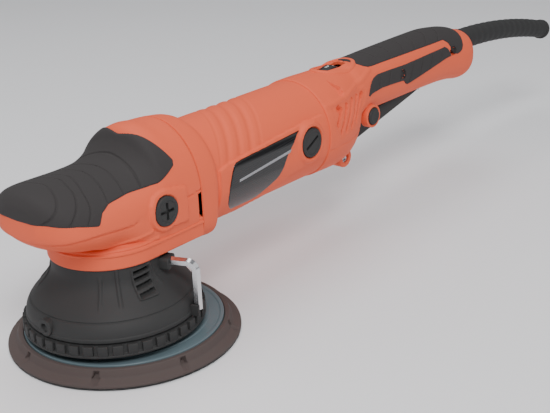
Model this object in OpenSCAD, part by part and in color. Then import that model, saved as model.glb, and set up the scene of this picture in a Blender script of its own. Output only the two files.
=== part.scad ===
// Dual action polisher: a long two-handed machine with a motor along X, a bevel drive in the
// head, and a pad that turns freely on an axis set off from the drive axis.
// Frame: +X towards the tail, -X towards the nose, +Z up. The origin is the centre of the pad's
// hook face. Modules inside at_drive() are measured from the drive axis instead.

/* [Pad] */
// Diameter of the hook face
pad_d = 150; // [125:1:190]
// Thickness of the hook face
hook_t = 2; // [1.2:0.1:3]
// Thickness of the foam under the plate
foam_t = 6.3; // [5.5:0.1:15]
// Height of the foam rim around the plate's edge
foam_rim_h = 2.4; // [1:0.1:2.8]
// Width of the foam rim's flat top
foam_rim_w = 3; // [2:0.1:6]
// How far the plate's edge sits inside the edge of the hook face
plate_inset = 10.8; // [8:0.1:20]
// Thickness of the backing plate
plate_t = 3; // [3:0.1:6]
// Diameter of the centre hole through the pad
pad_hole_d = 16; // [14:0.5:20]
// Number of air vents in the side of the foam
vent_n = 8; // [4:1:12]
// Diameter of each air vent
vent_d = 4.6; // [3:0.1:5]

/* [Orbit] */
// Diameter of the circle that the pad's axis travels
orbit_d = 15; // [12:0.5:18]
// Diameter of the pad spindle
pad_spindle_d = 12; // [10:0.5:13]
// Outer diameter of the two pad bearings
pad_bearing_d = 28; // [26:0.5:32]
// Width of each pad bearing
pad_bearing_w = 8; // [7:0.5:9]
// Radius of the counterweight's heavy sector
weight_r = 44; // [36:0.5:46]
// Angle of the heavy sector
weight_angle = 130; // [90:5:160]

/* [Shroud] */
// Gap between the plate and the notched ring
skirt_gap = 3.9; // [3:0.1:6]
// Outer diameter of the notched ring
ring_d = 116; // [114:1:124]
// Height of the notched ring
ring_h = 8; // [6:0.5:10]
// Number of notches around the ring
notch_n = 40; // [24:1:48]
// Outer diameter of the bell's lower band
shroud_d = 109.6; // [104:0.2:112]
// Height of the bell
shroud_h = 38.8; // [36:0.2:46]
// Wall of the bell
shroud_wall = 2.4; // [2:0.1:3]
// Angle of the hex key about the drive axis
key_angle = -68; // [-80:1:-55]
// Width across the flats of the hex key
key_af = 5; // [4:0.5:6]
// Travel of the hex key out of its holder
key_travel = 24; // [20:1:30]

/* [Gears] */
// Size of the gear teeth: pitch diameter over tooth count
gear_module = 1.3; // [1.2:0.05:1.6]
// Number of teeth on the crown gear
crown_teeth = 40; // [32:4:44]
// Number of teeth on the pinion
pinion_teeth = 10; // [9:1:11]
// Length of the teeth towards the meeting point of the axes
face_w = 8; // [6:0.5:9]
// Play between the teeth
gear_play = 0.34; // [0.25:0.01:0.5]

/* [Head] */
// Height of the motor's axis above the head's lower edge
axis_rise = 29.2; // [29.2:0.2:35]
// Room between the crown gear and the gear case
gear_room = 3.3; // [2:0.1:5]
// Wall of the gear case
case_wall = 3.4; // [2.5:0.1:5]
// Gap between the gear case and the head shell
case_gap = 2.5; // [1.5:0.1:4]
// Wall of the moulded shells
shell_wall = 2.8; // [2.4:0.1:3.4]
// Distance from the drive axis to the tip of the nose
nose_len = 65; // [58:1:80]
// Distance from the drive axis to the seam with the motor housing
seam_x = 47; // [47:0.5:56]
// Thickness of the soft grips
grip_t = 1.8; // [1.2:0.1:2]
// Diameter of each side cap
side_cap_d = 19; // [16:0.5:22]

/* [Motor] */
// Diameter of the motor housing
motor_d = 70; // [68:1:84]
// Length of the motor housing
motor_len = 136; // [130:1:165]
// Wall of the motor housing
motor_wall = 2.8; // [2.4:0.1:4]
// Length of the square flange at the motor housing's front
flange_len = 14.5; // [12:0.5:18]
// Diameter of the rotor's iron core
rotor_d = 40; // [34:1:44]
// Length of the rotor's iron core
core_len = 48; // [40:1:56]
// Air gap between the rotor and the field
air_gap = 0.6; // [0.4:0.1:1]
// Diameter of each brush cap
brush_cap_d = 21.4; // [18:0.2:24]

/* [Handle] */
// Length of the rear housing that tapers from the motor to the grip
rear_len = 75; // [70:1:90]
// Length of the grip behind the rear housing
grip_len = 150; // [125:0.5:190]
// Width of the grip
handle_w = 43; // [40:1:50]
// Height of the grip's upper half above its widest line
handle_up = 22.5; // [21:0.5:26]
// Height of the grip's lower half below its widest line
handle_down = 20; // [19:0.5:24]
// Length of the trigger paddle
paddle_len = 92; // [84:1:98]
// Width of the trigger paddle
paddle_w = 20; // [16:0.5:22]
// Angle that the trigger paddle lifts
paddle_lift = 5; // [3:0.5:5]
// Diameter of the lock button
lock_d = 13.2; // [10:0.2:14]
// Travel of the lock button
lock_travel = 3; // [2:0.5:3.5]
// Diameter of the speed dial
dial_d = 34; // [30:1:36]
// Thickness of the speed dial
dial_t = 8; // [6:0.5:10]

/* [Cord guard] */
// Length of the guard outside the tail, along its curve
guard_len = 165; // [80:1:180]
// Diameter of the guard at the tail
guard_d = 15; // [13:0.5:18]
// Diameter of the guard at its mouth
guard_tip_d = 12.6; // [11:0.1:14]
// Diameter of the bore for the supply lead
lead_d = 8.4; // [7:0.1:9]
// Radius of the guard's downward curve
guard_curve = 640; // [300:10:900]

/* [Fits] */
// Radial running clearance of shafts and pins
run = 0.05; // [0.03:0.01:0.08]
// Clearance between moulded parts that slide
slide = 0.3; // [0.25:0.05:0.5]

/* [Hidden] */
$fn = 48;

orange = "#f05a38";
black = "#262423";
rubber = "#2e2c2b";
steel = "#b9bcc0";
alloy = "#a7abad";
copper = "#b8703c";
brass = "#c9a44c";
eps = 0.01;

// Heights, from the hook face up
plate_top = hook_t + foam_t + plate_t;
ring_z = plate_top + skirt_gap;
bell_z = ring_z + ring_h;
head_z = bell_z + shroud_h;
axis_z = head_z + axis_rise;

// Widths around the drive axis
pad_r = pad_d / 2;
plate_r = pad_r - plate_inset;
crown_r = gear_module * crown_teeth / 2;
pinion_r = gear_module * pinion_teeth / 2;
cavity_r = crown_r + gear_room;
case_r = cavity_r + case_wall;
head_half = case_r + case_gap + shell_wall;
neck_r = head_half - 1.7;
neck_in = neck_r - shroud_wall;
orbit_r = orbit_d / 2;

// Drive spindle, from its lower end up
spindle_r = 7;
journal_r = 7.5;
top_journal_r = 5;
hub_r = 17;
bearing_w = 11;
bearing_r = 17.5;
low_bearing_z = head_z - 1;
crown_back_z = axis_z - pinion_r - 7;
top_bearing_z = axis_z + 7.5;
top_bearing_r = 13;
top_bearing_w = 8;
weight_z = bell_z + 1;
pad_bore_z = weight_z + 0.8;
weight_top_z = low_bearing_z - 3;

// Motor stations along X, from the drive axis
rear_x = seam_x + motor_len;
flange_x = seam_x + flange_len;
motor_r = motor_d / 2;
motor_in = motor_r - motor_wall;
front_bearing_x = seam_x - 11;
cap_x = 14;
screw_ring = 27.5;
front_bearing_r = 16;
front_bearing_w = 10;
fan_x = seam_x + 10;
fan_len = 12;
core_x = seam_x + 31;
brush_x = rear_x - 25.5;
comm_r = 12;
comm_len = 17;
rear_bearing_w = 7;
rear_bearing_r = 11;
rear_bearing_x = rear_x - 12;
shaft_r = 6;
shaft_rear_r = 4;
brush_w = 6.4;
brush_len = 12;

// Handle stations
tail_x = rear_x + rear_len + grip_len;
grip_x = rear_x + rear_len;
handle_z = axis_z + 13.5;
handle_half_w = handle_w / 2;
paddle_x = rear_x + 55.5;
pivot_x = paddle_x + paddle_len;
under_z = handle_z - handle_down;
pivot_z = under_z + 3.5;
pin_r = 1.5;
spring_x = pivot_x - 44;
lock_x = rear_x + 69;
lock_z = under_z + 1.5;
lock_face_y = -handle_half_w - 2.5;
dial_x = rear_x + 46;
dial_z = axis_z + motor_r + 1.4 - dial_d / 2;
guard_z = handle_z + 3.8;
guard_root = 18;
badge_t = 0.8;
switch_x = grip_x + 4;
switch_z = under_z + 11;

// Gear teeth: height of the crown's teeth above and below the pitch line
tip_h = 0.58 * gear_module;
root_h = 1.25 * gear_module;

// Shroud and key
key_z = head_z - 4.4;
key_leg_r = shroud_d / 2 + key_af / 2 + 0.6;
vent_angle = -104;
vent_phase = 32.5;
bell_steps = 14;

// Cord guard
guard_turn = guard_len / guard_curve * 180 / PI;
guard_rings = 14;
guard_sides = 24;
mouth_len = 18;

// Motor housing's flange and side panels
flange_half = head_half - 0.5;
flange_drop = axis_rise - 0.4;
flange_rise = 4;
panel_x = flange_x + 6;
panel_end = rear_x - 4;

// ---------- Helpers ----------

// Places what is measured from the drive axis
module at_drive() translate([-orbit_r, 0, 0]) children();

// A cylinder along X that starts at x, on the motor's axis height unless z is given
module rod_x(x, len, r, z = axis_z, y = 0)
  translate([x, y, z]) rotate([0, 90, 0]) cylinder(h = len, r = r);

// A cylinder along Y that starts at y
module rod_y(x, y, z, len, r, fn = 48)
  translate([x, y, z]) rotate([-90, 0, 0]) cylinder(h = len, r = r, $fn = fn);

// A round ring on a vertical axis
module tube(z, h, r_out, r_in)
  translate([0, 0, z]) difference() {
    cylinder(h = h, r = r_out);
    translate([0, 0, -1]) cylinder(h = h + 2, r = r_in);
  }

// A block that is centred on the Y axis
module block(x, z, len, w, h) translate([x, -w / 2, z]) cube([len, w, h]);

// The side +1 or -1 of the machine
module on_side(side) if (side > 0) mirror([0, 1, 0]) children(); else children();

// A hexagonal rod along Z
module hex_rod(h, af) cylinder(h = h, d = af / cos(30), $fn = 6);

// Superellipse power that keeps the sign
function bend(v, e) = sign(v) * pow(abs(v), e);

// One section of a shell: a station is [x, half width, centre z, up, down, power below, power above]
sides = 32;
function section(s, grow) = [
  for (i = [0:sides - 1])
    let (t = 360 * (i + 0.5) / sides, top = sin(t) > 0, e = 2 / s[top ? 6 : 5],
      half = s[top ? 3 : 4] + grow)
      [s[0], (s[1] + grow) * bend(cos(t), e), s[2] + half * bend(sin(t), e)]];

// A closed skin through stations, grown outwards by grow and cut short at its ends by it
module skin(stations, grow = 0) {
  last = len(stations) - 1;
  points = [
    for (k = [0:last])
      let (s = stations[k], x = s[0] + (k == 0 ? -grow : k == last ? grow : 0))
        each section([x, s[1], s[2], s[3], s[4], s[5], s[6]], grow)];
  walls = [
    for (k = [0:last - 1], i = [0:sides - 1])
      let (j = (i + 1) % sides, a = k * sides, b = a + sides)
        each [[a + i, b + i, a + j], [a + j, b + i, b + j]]];
  ends = [[for (i = [0:sides - 1]) i], [for (i = [sides - 1:-1:0]) last * sides + i]];
  polyhedron(points = points, faces = concat(walls, ends));
}

// A prism along Y from an outline in X and Z
module side_prism(outline, y0, y1)
  translate([0, y1, 0]) rotate([90, 0, 0]) linear_extrude(height = y1 - y0) polygon(outline);

// A ball bearing as one piece, on a vertical axis
module bearing(z, w, r_out, r_in) color(steel) tube(z, w, r_out, r_in + run);

// ---------- Pad, which spins on the orbiting axis ----------

module hook_face() color("#3a3533") tube(0, hook_t, pad_r, pad_hole_d / 2);

module pad_foam() {
  top_z = hook_t + foam_t + foam_rim_h;
  rim_r = plate_r + foam_rim_w;
  waist_r = rim_r + (pad_r - rim_r) * 0.3;
  color("#463c39") difference() {
    rotate_extrude($fn = 96) polygon([
      [pad_hole_d / 2, hook_t], [pad_r, hook_t], [pad_r, hook_t + 1.4],
      [waist_r, hook_t + foam_t * 0.62], [rim_r, top_z], [plate_r, top_z],
      [plate_r, hook_t + foam_t], [pad_hole_d / 2, hook_t + foam_t]]);
    for (i = [0:vent_n - 1])
      rotate([0, 0, 360 * i / vent_n + vent_phase])
        rod_x(plate_r - 8, pad_r, vent_d / 2, hook_t + foam_t / 2 + 0.3);
  }
}

module backing_plate() {
  z = plate_top - plate_t;
  color("#7b878b") difference() {
    union() {
      translate([0, 0, z]) cylinder(h = plate_t, r = plate_r, $fn = 96);
      translate([0, 0, plate_top - eps]) cylinder(h = 6 + eps, r = 24);
      for (i = [0:7])
        rotate([0, 0, 45 * i]) block(22, plate_top - eps, plate_r - 30, 2.4, 1.8 + eps);
    }
    translate([0, 0, z - 1]) cylinder(h = 4.8, r = 7.2);
    translate([0, 0, z]) cylinder(h = 20, r = 4.2);
    translate([0, 0, plate_top + 3]) cylinder(h = 10, r = 13 + run);
  }
}

module pad_bolt() {
  z = plate_top - plate_t;
  color(steel) difference() {
    union() {
      translate([0, 0, z + 0.4]) cylinder(h = 3.4, r = 6.6);
      translate([0, 0, z + 3.8 - eps]) cylinder(h = 20, r = 4);
    }
    translate([0, 0, z - 1]) hex_rod(3.6, key_af);
  }
}

module pad_spindle() {
  z = plate_top + 3;
  top = pad_bore_z + 2 * pad_bearing_w + 1;
  color(steel) difference() {
    union() {
      translate([0, 0, z]) cylinder(h = pad_bore_z - z - 2.4, r = 13);
      translate([0, 0, z]) cylinder(h = pad_bore_z - z - 0.4, r = 8);
      translate([0, 0, z]) cylinder(h = top - z, r = pad_spindle_d / 2);
    }
    translate([0, 0, z - 1]) cylinder(h = 20.5, r = 4);
  }
}

// ---------- Spindle, which turns on the drive axis ----------

module pad_bearing_lower() bearing(pad_bore_z, pad_bearing_w, pad_bearing_d / 2, pad_spindle_d / 2);

module pad_bearing_upper()
  bearing(pad_bore_z + pad_bearing_w, pad_bearing_w, pad_bearing_d / 2, pad_spindle_d / 2);

module counterweight() {
  bore_h = 2 * pad_bearing_w + 1.6;
  hub_z = pad_bore_z + bore_h + 1.4;
  color("#8d9093") difference() {
    union() {
      translate([0, 0, weight_z]) cylinder(h = hub_z - weight_z + 2, r = pad_bearing_d / 2 + 4);
      at_drive() {
        translate([0, 0, hub_z - 6]) cylinder(h = 8, r = 24);
        translate([0, 0, hub_z]) cylinder(h = weight_top_z - hub_z, r = hub_r);
        translate([0, 0, weight_z + 1]) rotate([0, 0, 180 - weight_angle / 2])
          rotate_extrude(angle = weight_angle, $fn = 96)
            translate([6, 0]) square([weight_r - 6, 9]);
      }
    }
    translate([0, 0, weight_z - 1]) cylinder(h = pad_bore_z - weight_z + 1 + bore_h, r = pad_bearing_d / 2);
    at_drive() translate([0, 0, hub_z + 0.5]) cylinder(h = 40, r = spindle_r);
  }
}

module drive_spindle() {
  base = pad_bore_z + 2 * pad_bearing_w + 3.5;
  at_drive() color(steel) union() {
    translate([0, 0, base]) cylinder(h = low_bearing_z - base, r = spindle_r);
    translate([0, 0, weight_top_z]) cylinder(h = low_bearing_z - weight_top_z, r = 10);
    translate([0, 0, low_bearing_z - eps]) cylinder(h = bearing_w + 2 * eps, r = journal_r);
    translate([0, 0, low_bearing_z + bearing_w])
      cylinder(h = crown_back_z - low_bearing_z - bearing_w, r = 9.5);
    translate([0, 0, crown_back_z - eps]) cylinder(h = 9, r = spindle_r);
    translate([0, 0, crown_back_z]) cylinder(h = top_bearing_z + top_bearing_w - crown_back_z,
      r = top_journal_r);
  }
}

// One of the four corners of a crown tooth: its angle, and its height from the motor's axis
function crown_point(i) =
  let (
    tooth = floor(i / 4), corner = i % 4, pitch = 360 / crown_teeth,
    half = pitch / 4 - gear_play / 2 * 180 / (PI * crown_r),
    slope = tan(20) * 180 / (PI * crown_r),
    turn = corner == 0 ? -half - slope * root_h : corner == 1 ? -half + slope * tip_h
      : corner == 2 ? half - slope * tip_h : half + slope * root_h,
    rise = corner == 1 || corner == 2 ? tip_h : -root_h)
  [(tooth + 0.5) * pitch + turn, -pinion_r + rise];

module crown_ring() {
  n = 4 * crown_teeth;
  shrink = 1 - face_w / crown_r;
  base = -pinion_r - root_h - 2;
  at = [for (i = [0:n - 1]) crown_point(i)];
  function spot(a, r, z) = [r * cos(a), r * sin(a), z];
  points = concat(
    [for (p = at) spot(p[0], crown_r, p[1])],
    [for (p = at) spot(p[0], crown_r * shrink, p[1] * shrink)],
    [for (p = at) spot(p[0], crown_r * shrink, base)],
    [for (p = at) spot(p[0], crown_r, base)]);
  faces = [
    for (ring = [0:3], i = [0:n - 1])
      let (a = ring * n, b = ((ring + 1) % 4) * n, j = (i + 1) % n)
        [a + i, b + i, b + j, a + j]];
  polyhedron(points = points, faces = faces);
}

module crown_gear() at_drive() color("#9a9c9e") {
  base = axis_z - pinion_r - root_h - 2;
  translate([0, 0, axis_z]) crown_ring();
  difference() {
    union() {
      translate([0, 0, crown_back_z]) cylinder(h = 4, r = 12);
      translate([0, 0, base - 2.4]) cylinder(h = 2.4, r = crown_r - 0.5, $fn = 96);
    }
    translate([0, 0, crown_back_z - 1]) cylinder(h = 12, r = spindle_r);
  }
}

// ---------- Rotor, which turns on the motor's axis ----------

// Flank of a pinion tooth as an involute, at one radius
function involute_turn(r, base) =
  let (roll = sqrt(max(0, r * r / (base * base) - 1))) roll * 180 / PI - atan(roll);
module pinion_outline() {
  base = pinion_r * cos(20);
  root = pinion_r - 0.95 * gear_module;
  tip = pinion_r + 0.95 * gear_module;
  half = 90 / pinion_teeth - gear_play / 2 * 180 / (PI * pinion_r);
  at_pitch = involute_turn(pinion_r, base);
  flank = [root, base, pinion_r, (pinion_r + tip) / 2, tip];
  function off(r) = half + at_pitch - involute_turn(max(r, base), base);
  polygon([
    for (t = [0:pinion_teeth - 1])
      let (mid = -90 + 360 * t / pinion_teeth)
        each concat(
          [for (r = flank) r * [cos(mid - off(r)), sin(mid - off(r))]],
          [for (k = [4:-1:0]) flank[k] * [cos(mid + off(flank[k])), sin(mid + off(flank[k]))]])]);
}

module bevel_pinion() {
  shrink = 1 - face_w / crown_r;
  at_drive() color("#a2a4a6") difference() {
    union() {
      translate([crown_r, 0, axis_z]) rotate([90, 0, -90])
        linear_extrude(height = face_w, scale = shrink) pinion_outline();
      rod_x(crown_r - eps, 3, pinion_r + gear_module);
    }
    rod_x(crown_r - face_w - 1, face_w + 6, 3.2);
  }
}

module rotor_shaft() at_drive() color(steel) {
  x0 = crown_r - face_w;
  rod_x(x0, crown_r + 3 - x0, 3.2);
  rod_x(crown_r + 3, core_x + core_len + 4 - crown_r - 3, shaft_r);
  rod_x(core_x + core_len + 3, rear_bearing_x + rear_bearing_w - core_x - core_len - 3, shaft_rear_r);
}

module cooling_fan() at_drive() color("#5b4a3c") difference() {
  union() {
    rod_x(fan_x, fan_len, 10);
    rod_x(fan_x + fan_len - 2, 2, motor_in - 2);
    for (i = [0:10])
      translate([0, 0, axis_z]) rotate([360 * i / 11, 0, 0])
        translate([fan_x + 1, -0.9, 8]) cube([fan_len - 2, 1.8, motor_in - 11]);
  }
  rod_x(fan_x - 1, fan_len + 2, shaft_r);
}

module rotor_core() at_drive() color("#6d7174") difference() {
  rod_x(core_x, core_len, rotor_d / 2);
  rod_x(core_x - 1, core_len + 2, shaft_r);
  for (i = [0:11])
    translate([0, 0, axis_z]) rotate([30 * i, 0, 0])
      translate([core_x - 1, -0.8, rotor_d / 2 - 3]) cube([core_len + 2, 1.6, 5]);
}

module rotor_windings() at_drive() color(copper) {
  difference() {
    rod_x(core_x - 8, 8, rotor_d / 2 - 3);
    rod_x(core_x - 9, 10, shaft_r);
  }
  difference() {
    rod_x(core_x + core_len, 8, rotor_d / 2 - 3);
    rod_x(core_x + core_len - 1, 10, shaft_r);
  }
}

module commutator() at_drive() color(copper) difference() {
  rod_x(brush_x - comm_len / 2, comm_len, comm_r);
  rod_x(brush_x - comm_len, 2 * comm_len, shaft_rear_r);
  for (i = [0:11])
    translate([0, 0, axis_z]) rotate([30 * i + 15, 0, 0])
      translate([brush_x - comm_len, -0.3, comm_r - 0.8]) cube([2 * comm_len, 0.6, 2]);
}

// ---------- Head ----------

// Stations of the head, from the nose to the seam
head_stations = [
  [-nose_len, head_half - 24, axis_z + 6.5, 8, 6, 2.2, 2.2],
  [2 - nose_len, head_half - 17, axis_z + 6.5, 12, 9.5, 2.2, 2.2],
  [6 - nose_len, head_half - 10, axis_z + 6, 15, 13, 2.2, 2.2],
  [13 - nose_len, head_half - 4, axis_z + 5, 17.5, 16, 2.3, 2.2],
  [22 - nose_len, head_half - 1.2, axis_z + 4, 19.5, 18.5, 2.3, 2.2],
  [33 - nose_len, head_half, axis_z + 3, 21, 20.5, 2.3, 2.2],
  [-20, head_half + 0.6, axis_z + 2.5, 22.5, 22.5, 2.3, 2.2],
  [-8, head_half + 1, axis_z + 2, 24.5, 24.5, 2.35, 2.2],
  [1, head_half + 1, axis_z + 1.5, 28, 26, 2.45, 2.2],
  [8, head_half + 1, axis_z + 1, 32.5, 27, 2.55, 2.15],
  [14, head_half + 1, axis_z + 0.5, 39, 27.5, 2.6, 2.1],
  [21, head_half + 1, axis_z, 45.5, 28, 2.7, 2.05],
  [32, head_half + 0.5, axis_z, 44.5, 28.5, 2.7, 2.05],
  [seam_x, head_half, axis_z, 42, 28.8, 2.7, 2.05]];

// Outline, seen from the side, of the soft grip on the nose
front_grip_outline = [
  [-nose_len - 20, axis_z + 5], [-36, axis_z + 5.5], [-33, axis_z + 12.5], [-27, axis_z + 17],
  [-19, axis_z + 19.3], [8, axis_z + 20], [20, axis_z + 22.3], [30, axis_z + 26.5],
  [26.5, axis_z + 35], [20, axis_z + 43], [12, axis_z + 60], [-nose_len - 20, axis_z + 60]];

module head_skirt(r, z, h, x1) translate([0, 0, z]) {
  cylinder(h = h, r = r, $fn = 96);
  translate([0, -r, 0]) cube([x1, 2 * r, h]);
}

module side_cap_boss(side) on_side(side)
  rod_y(cap_x, -head_half - 3.4, axis_z, 8, side_cap_d / 2 + 4.5);

module head_shell() at_drive() color(orange) difference() {
  union() {
    skin(head_stations);
    head_skirt(head_half, head_z, 14, seam_x);
    for (side = [-1, 1]) side_cap_boss(side);
  }
  skin(head_stations, -shell_wall - grip_t);
  translate([0, 0, -1]) head_skirt(head_half - shell_wall, head_z, 26, seam_x + 5);
  translate([0, 0, head_z - 1]) cylinder(h = 6, r = neck_r + slide);
  rod_x(seam_x - 12, 20, head_half - 4);
  translate([seam_x - 4, 0, 0]) block(-2, axis_z - 30, 20, 2 * head_half - 14, 56);
  for (side = [-1, 1]) {
    on_side(side) rod_y(cap_x, -head_half - 10, axis_z, 20, side_cap_d / 2);
    on_side(side) translate([seam_x - 3, -head_half - 5, axis_z - 20]) cube([10, 12, 21]);
  }
  intersection() {
    side_prism(front_grip_outline, -60, 60);
    difference() {
      translate([-nose_len - 15, -55, axis_z - 10]) cube([nose_len + 50, 110, 70]);
      skin(head_stations, -grip_t);
    }
  }
}

module front_grip() at_drive() color(rubber) intersection() {
  side_prism(front_grip_outline, -60, 60);
  difference() {
    skin(head_stations);
    skin(head_stations, -grip_t);
  }
}

module side_cap(side) at_drive() color(black) on_side(side) difference() {
  union() {
    rod_y(cap_x, -head_half - 4.6, axis_z, 4.1, side_cap_d / 2 - 0.1);
    rod_y(cap_x, -head_half - 1, axis_z, 1 + head_half - case_r + 5, 6.9);
  }
  translate([cap_x - 6, -head_half - 6, axis_z - 1.1]) cube([12, 2.8, 2.2]);
  translate([cap_x - 1.1, -head_half - 6, axis_z - 6]) cube([2.2, 2.8, 12]);
}
module side_cap_left() side_cap(-1);
module side_cap_right() side_cap(1);

module gear_case() at_drive() color(alloy) difference() {
  union() {
    translate([0, 0, head_z - 1]) cylinder(h = axis_z + 6 - head_z, r = case_r);
    translate([0, 0, axis_z + 5 - eps]) cylinder(h = 13.5, r = top_bearing_r + 4);
    rod_x(5, seam_x - 5, front_bearing_r + 4);
    rod_x(seam_x - 11.5, 11.5, screw_ring + 4.5);
    for (side = [-1, 1])
      on_side(side) rod_y(cap_x, -head_half - 0.4, axis_z, head_half, side_cap_d / 2 - 0.3);
  }
  // Room for the bell's top plate and its neck
  cylinder(h = head_z - 1, r = neck_r + 20);
  tube(head_z - 5, 9.6, neck_r + 20, neck_in - 0.2);
  translate([0, 0, low_bearing_z + bearing_w + 1])
    cylinder(h = axis_z + 2 - low_bearing_z - bearing_w, r = cavity_r);
  translate([0, 0, low_bearing_z - 1]) cylinder(h = bearing_w + 1, r = bearing_r);
  translate([0, 0, low_bearing_z]) cylinder(h = 20, r = bearing_r - 3);
  translate([0, 0, top_bearing_z - 6]) cylinder(h = 6 + eps, r = top_bearing_r - 2);
  translate([0, 0, top_bearing_z]) cylinder(h = top_bearing_w + 0.5, r = top_bearing_r);
  rod_x(crown_r - face_w - 2, front_bearing_x - crown_r + face_w + 3, 12);
  rod_x(front_bearing_x, 40, front_bearing_r);
  for (side = [-1, 1])
    on_side(side) rod_y(cap_x, -head_half - 2, axis_z, 2 + head_half - case_r + 6.4, 7);
  for (i = [0:3]) {
    rotate([0, 0, 45 + 90 * i]) translate([25.5, 0, head_z - 3]) cylinder(h = 9, r = 1.6);
    translate([0, 0, axis_z]) rotate([45 + 90 * i, 0, 0]) rod_x(seam_x - 10.5, 20, 2, 0, screw_ring);
  }
}

module lower_bearing() at_drive() bearing(low_bearing_z, bearing_w, bearing_r, journal_r);

module upper_bearing() at_drive() bearing(top_bearing_z, top_bearing_w, top_bearing_r, top_journal_r);

module front_bearing() at_drive() color(steel) difference() {
  rod_x(front_bearing_x, front_bearing_w, front_bearing_r);
  rod_x(front_bearing_x - 1, front_bearing_w + 2, shaft_r + run);
}

module rear_bearing() at_drive() color(steel) difference() {
  rod_x(rear_bearing_x, rear_bearing_w, rear_bearing_r);
  rod_x(rear_bearing_x - 1, rear_bearing_w + 2, shaft_rear_r + run);
}

module head_screws() at_drive() color(steel)
  for (i = [0:3])
    translate([0, 0, axis_z]) rotate([45 + 90 * i, 0, 0]) {
      rod_x(seam_x - 10, 15.5, 2, 0, screw_ring);
      difference() {
        rod_x(seam_x + 5.5, 3.6, 3.6, 0, screw_ring);
        translate([seam_x + 7.5, screw_ring, 0]) rotate([0, 90, 0]) hex_rod(5, 3);
      }
    }

// ---------- Shroud ----------

// Outer radius of the bell at a height above its lower edge
function bell_r(z) =
  let (t = min(1, max(0, (z - 4) / (shroud_h - 9)))) neck_r + (shroud_d / 2 - neck_r) * (1 + cos(180 * t)) / 2;
bell_heights = [for (i = [0:bell_steps]) shroud_h * i / bell_steps];

module shroud() at_drive() color(black) difference() {
  union() {
    rotate_extrude($fn = 96) polygon(concat(
      [for (z = bell_heights) [bell_r(z), bell_z + z]],
      [[neck_r, head_z + 4], [neck_in, head_z + 4]],
      [for (k = [bell_steps:-1:0]) [bell_r(bell_heights[k]) - shroud_wall, bell_z + bell_heights[k]]]));
    tube(head_z - 4, 3, neck_r - 1, bearing_r - 1.5);
    // Boss for a screw at the front
    rotate([0, 0, 180]) rod_x(bell_r(6) - 5, 6.5, 5.5, bell_z + 6.5);
    // Socket for the short arm of the hex key
    rotate([0, 0, key_angle]) block(neck_r - 1.5, key_z - 5, 7.5, 11, 9.2);
  }
  rotate([0, 0, 180]) rod_x(bell_r(6) - 2, 10, 2.6, bell_z + 6.5);
  rotate([0, 0, vent_angle]) for (i = [0:2]) block(30, bell_z + 20.5 + 5.6 * i, 30, 12, 3);
  rotate([0, 0, key_angle]) rod_x(case_r, 30, key_af / 2 / cos(30) + slide, key_z);
  for (i = [0:3]) rotate([0, 0, 45 + 90 * i]) translate([25.5, 0, head_z - 6]) cylinder(h = 9, r = 2.2);
  translate([0, 0, bell_z - 1]) cylinder(h = shroud_h - 5, r = neck_in - 0.5);
}

module shroud_ring() at_drive() color("#1c1b1b") difference() {
  rotate_extrude($fn = 96) polygon([
    [ring_d / 2 - 9, ring_z + 1], [ring_d / 2, ring_z], [ring_d / 2, ring_z + 2],
    [shroud_d / 2 + 1.2, bell_z - 1.4], [shroud_d / 2 + 1.2, bell_z], [ring_d / 2 - 9, bell_z]]);
  for (i = [0:notch_n - 1])
    rotate([0, 0, 360 * i / notch_n]) block(shroud_d / 2 + 0.2, bell_z - 3.2, 9, 2.6, 10);
}

module shroud_screws() at_drive() color(steel)
  for (i = [0:3])
    rotate([0, 0, 45 + 90 * i]) translate([25.5, 0, 0]) {
      translate([0, 0, head_z - 6.4]) cylinder(h = 2.4, r = 3.4);
      translate([0, 0, head_z - 4.1]) cylinder(h = 9, r = 1.6);
    }

module key_clip() at_drive() color(black) rotate([0, 0, key_angle]) difference() {
  block(shroud_d / 2 - 3, bell_z + 0.5, key_leg_r - shroud_d / 2 + 5, key_af + 5, 7);
  block(key_leg_r - key_af / 2 - 0.4, bell_z - 1, 20, key_af + 2 * slide, 12);
  translate([0, 0, bell_z]) cylinder(h = 10, r = shroud_d / 2, $fn = 96);
}

module hex_key() at_drive() color("#d5d8dc") rotate([0, 0, key_angle]) {
  bend_r = 5;
  inner = case_r + 0.5;
  translate([inner, 0, key_z]) rotate([0, 90, 0]) hex_rod(key_leg_r - bend_r - inner + eps, key_af);
  translate([key_leg_r - bend_r, 0, key_z - bend_r]) rotate([90, 0, 0])
    rotate_extrude(angle = 90, $fn = 48) translate([bend_r, 0]) circle(d = key_af / cos(30), $fn = 6);
  translate([key_leg_r, 0, bell_z + 3.5])
    hex_rod(key_z - bend_r - bell_z - 3.5 + eps, key_af);
}

// ---------- Motor housing ----------

// The flange is round above and squared below, where it meets the head. Its +X is downwards
module flange_shape() {
  circle(r = flange_half, $fn = 96);
  translate([-flange_rise, 0]) circle(r = flange_half, $fn = 96);
  translate([-flange_rise, -flange_half]) square([flange_rise, 2 * flange_half]);
  intersection() {
    translate([-6, -flange_half]) square([6 + flange_drop, 2 * flange_half]);
    circle(r = flange_half * 1.2, $fn = 96);
  }
}

module side_panel(side) on_side(side) intersection() {
  rod_x(panel_x, panel_end - panel_x, motor_r + 1.8);
  side_prism([
    [panel_x, axis_z - 20], [panel_x, axis_z + 4], [panel_x + 14, axis_z + 12],
    [panel_end, axis_z + 17], [panel_end, axis_z - 14], [panel_x + 50, axis_z - 17]], -60, 0);
  translate([0, -motor_r - 1.2, axis_z - 40]) cube([300, 30, 80]);
}

badge_outline = [
  [brush_x - 74, axis_z - 19], [brush_x - 81, axis_z - 17], [brush_x - 80, axis_z - 4],
  [brush_x - 73, axis_z + 9], [brush_x - 8, axis_z + 14], [brush_x - 20, axis_z - 1],
  [brush_x - 29, axis_z - 14]];

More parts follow.
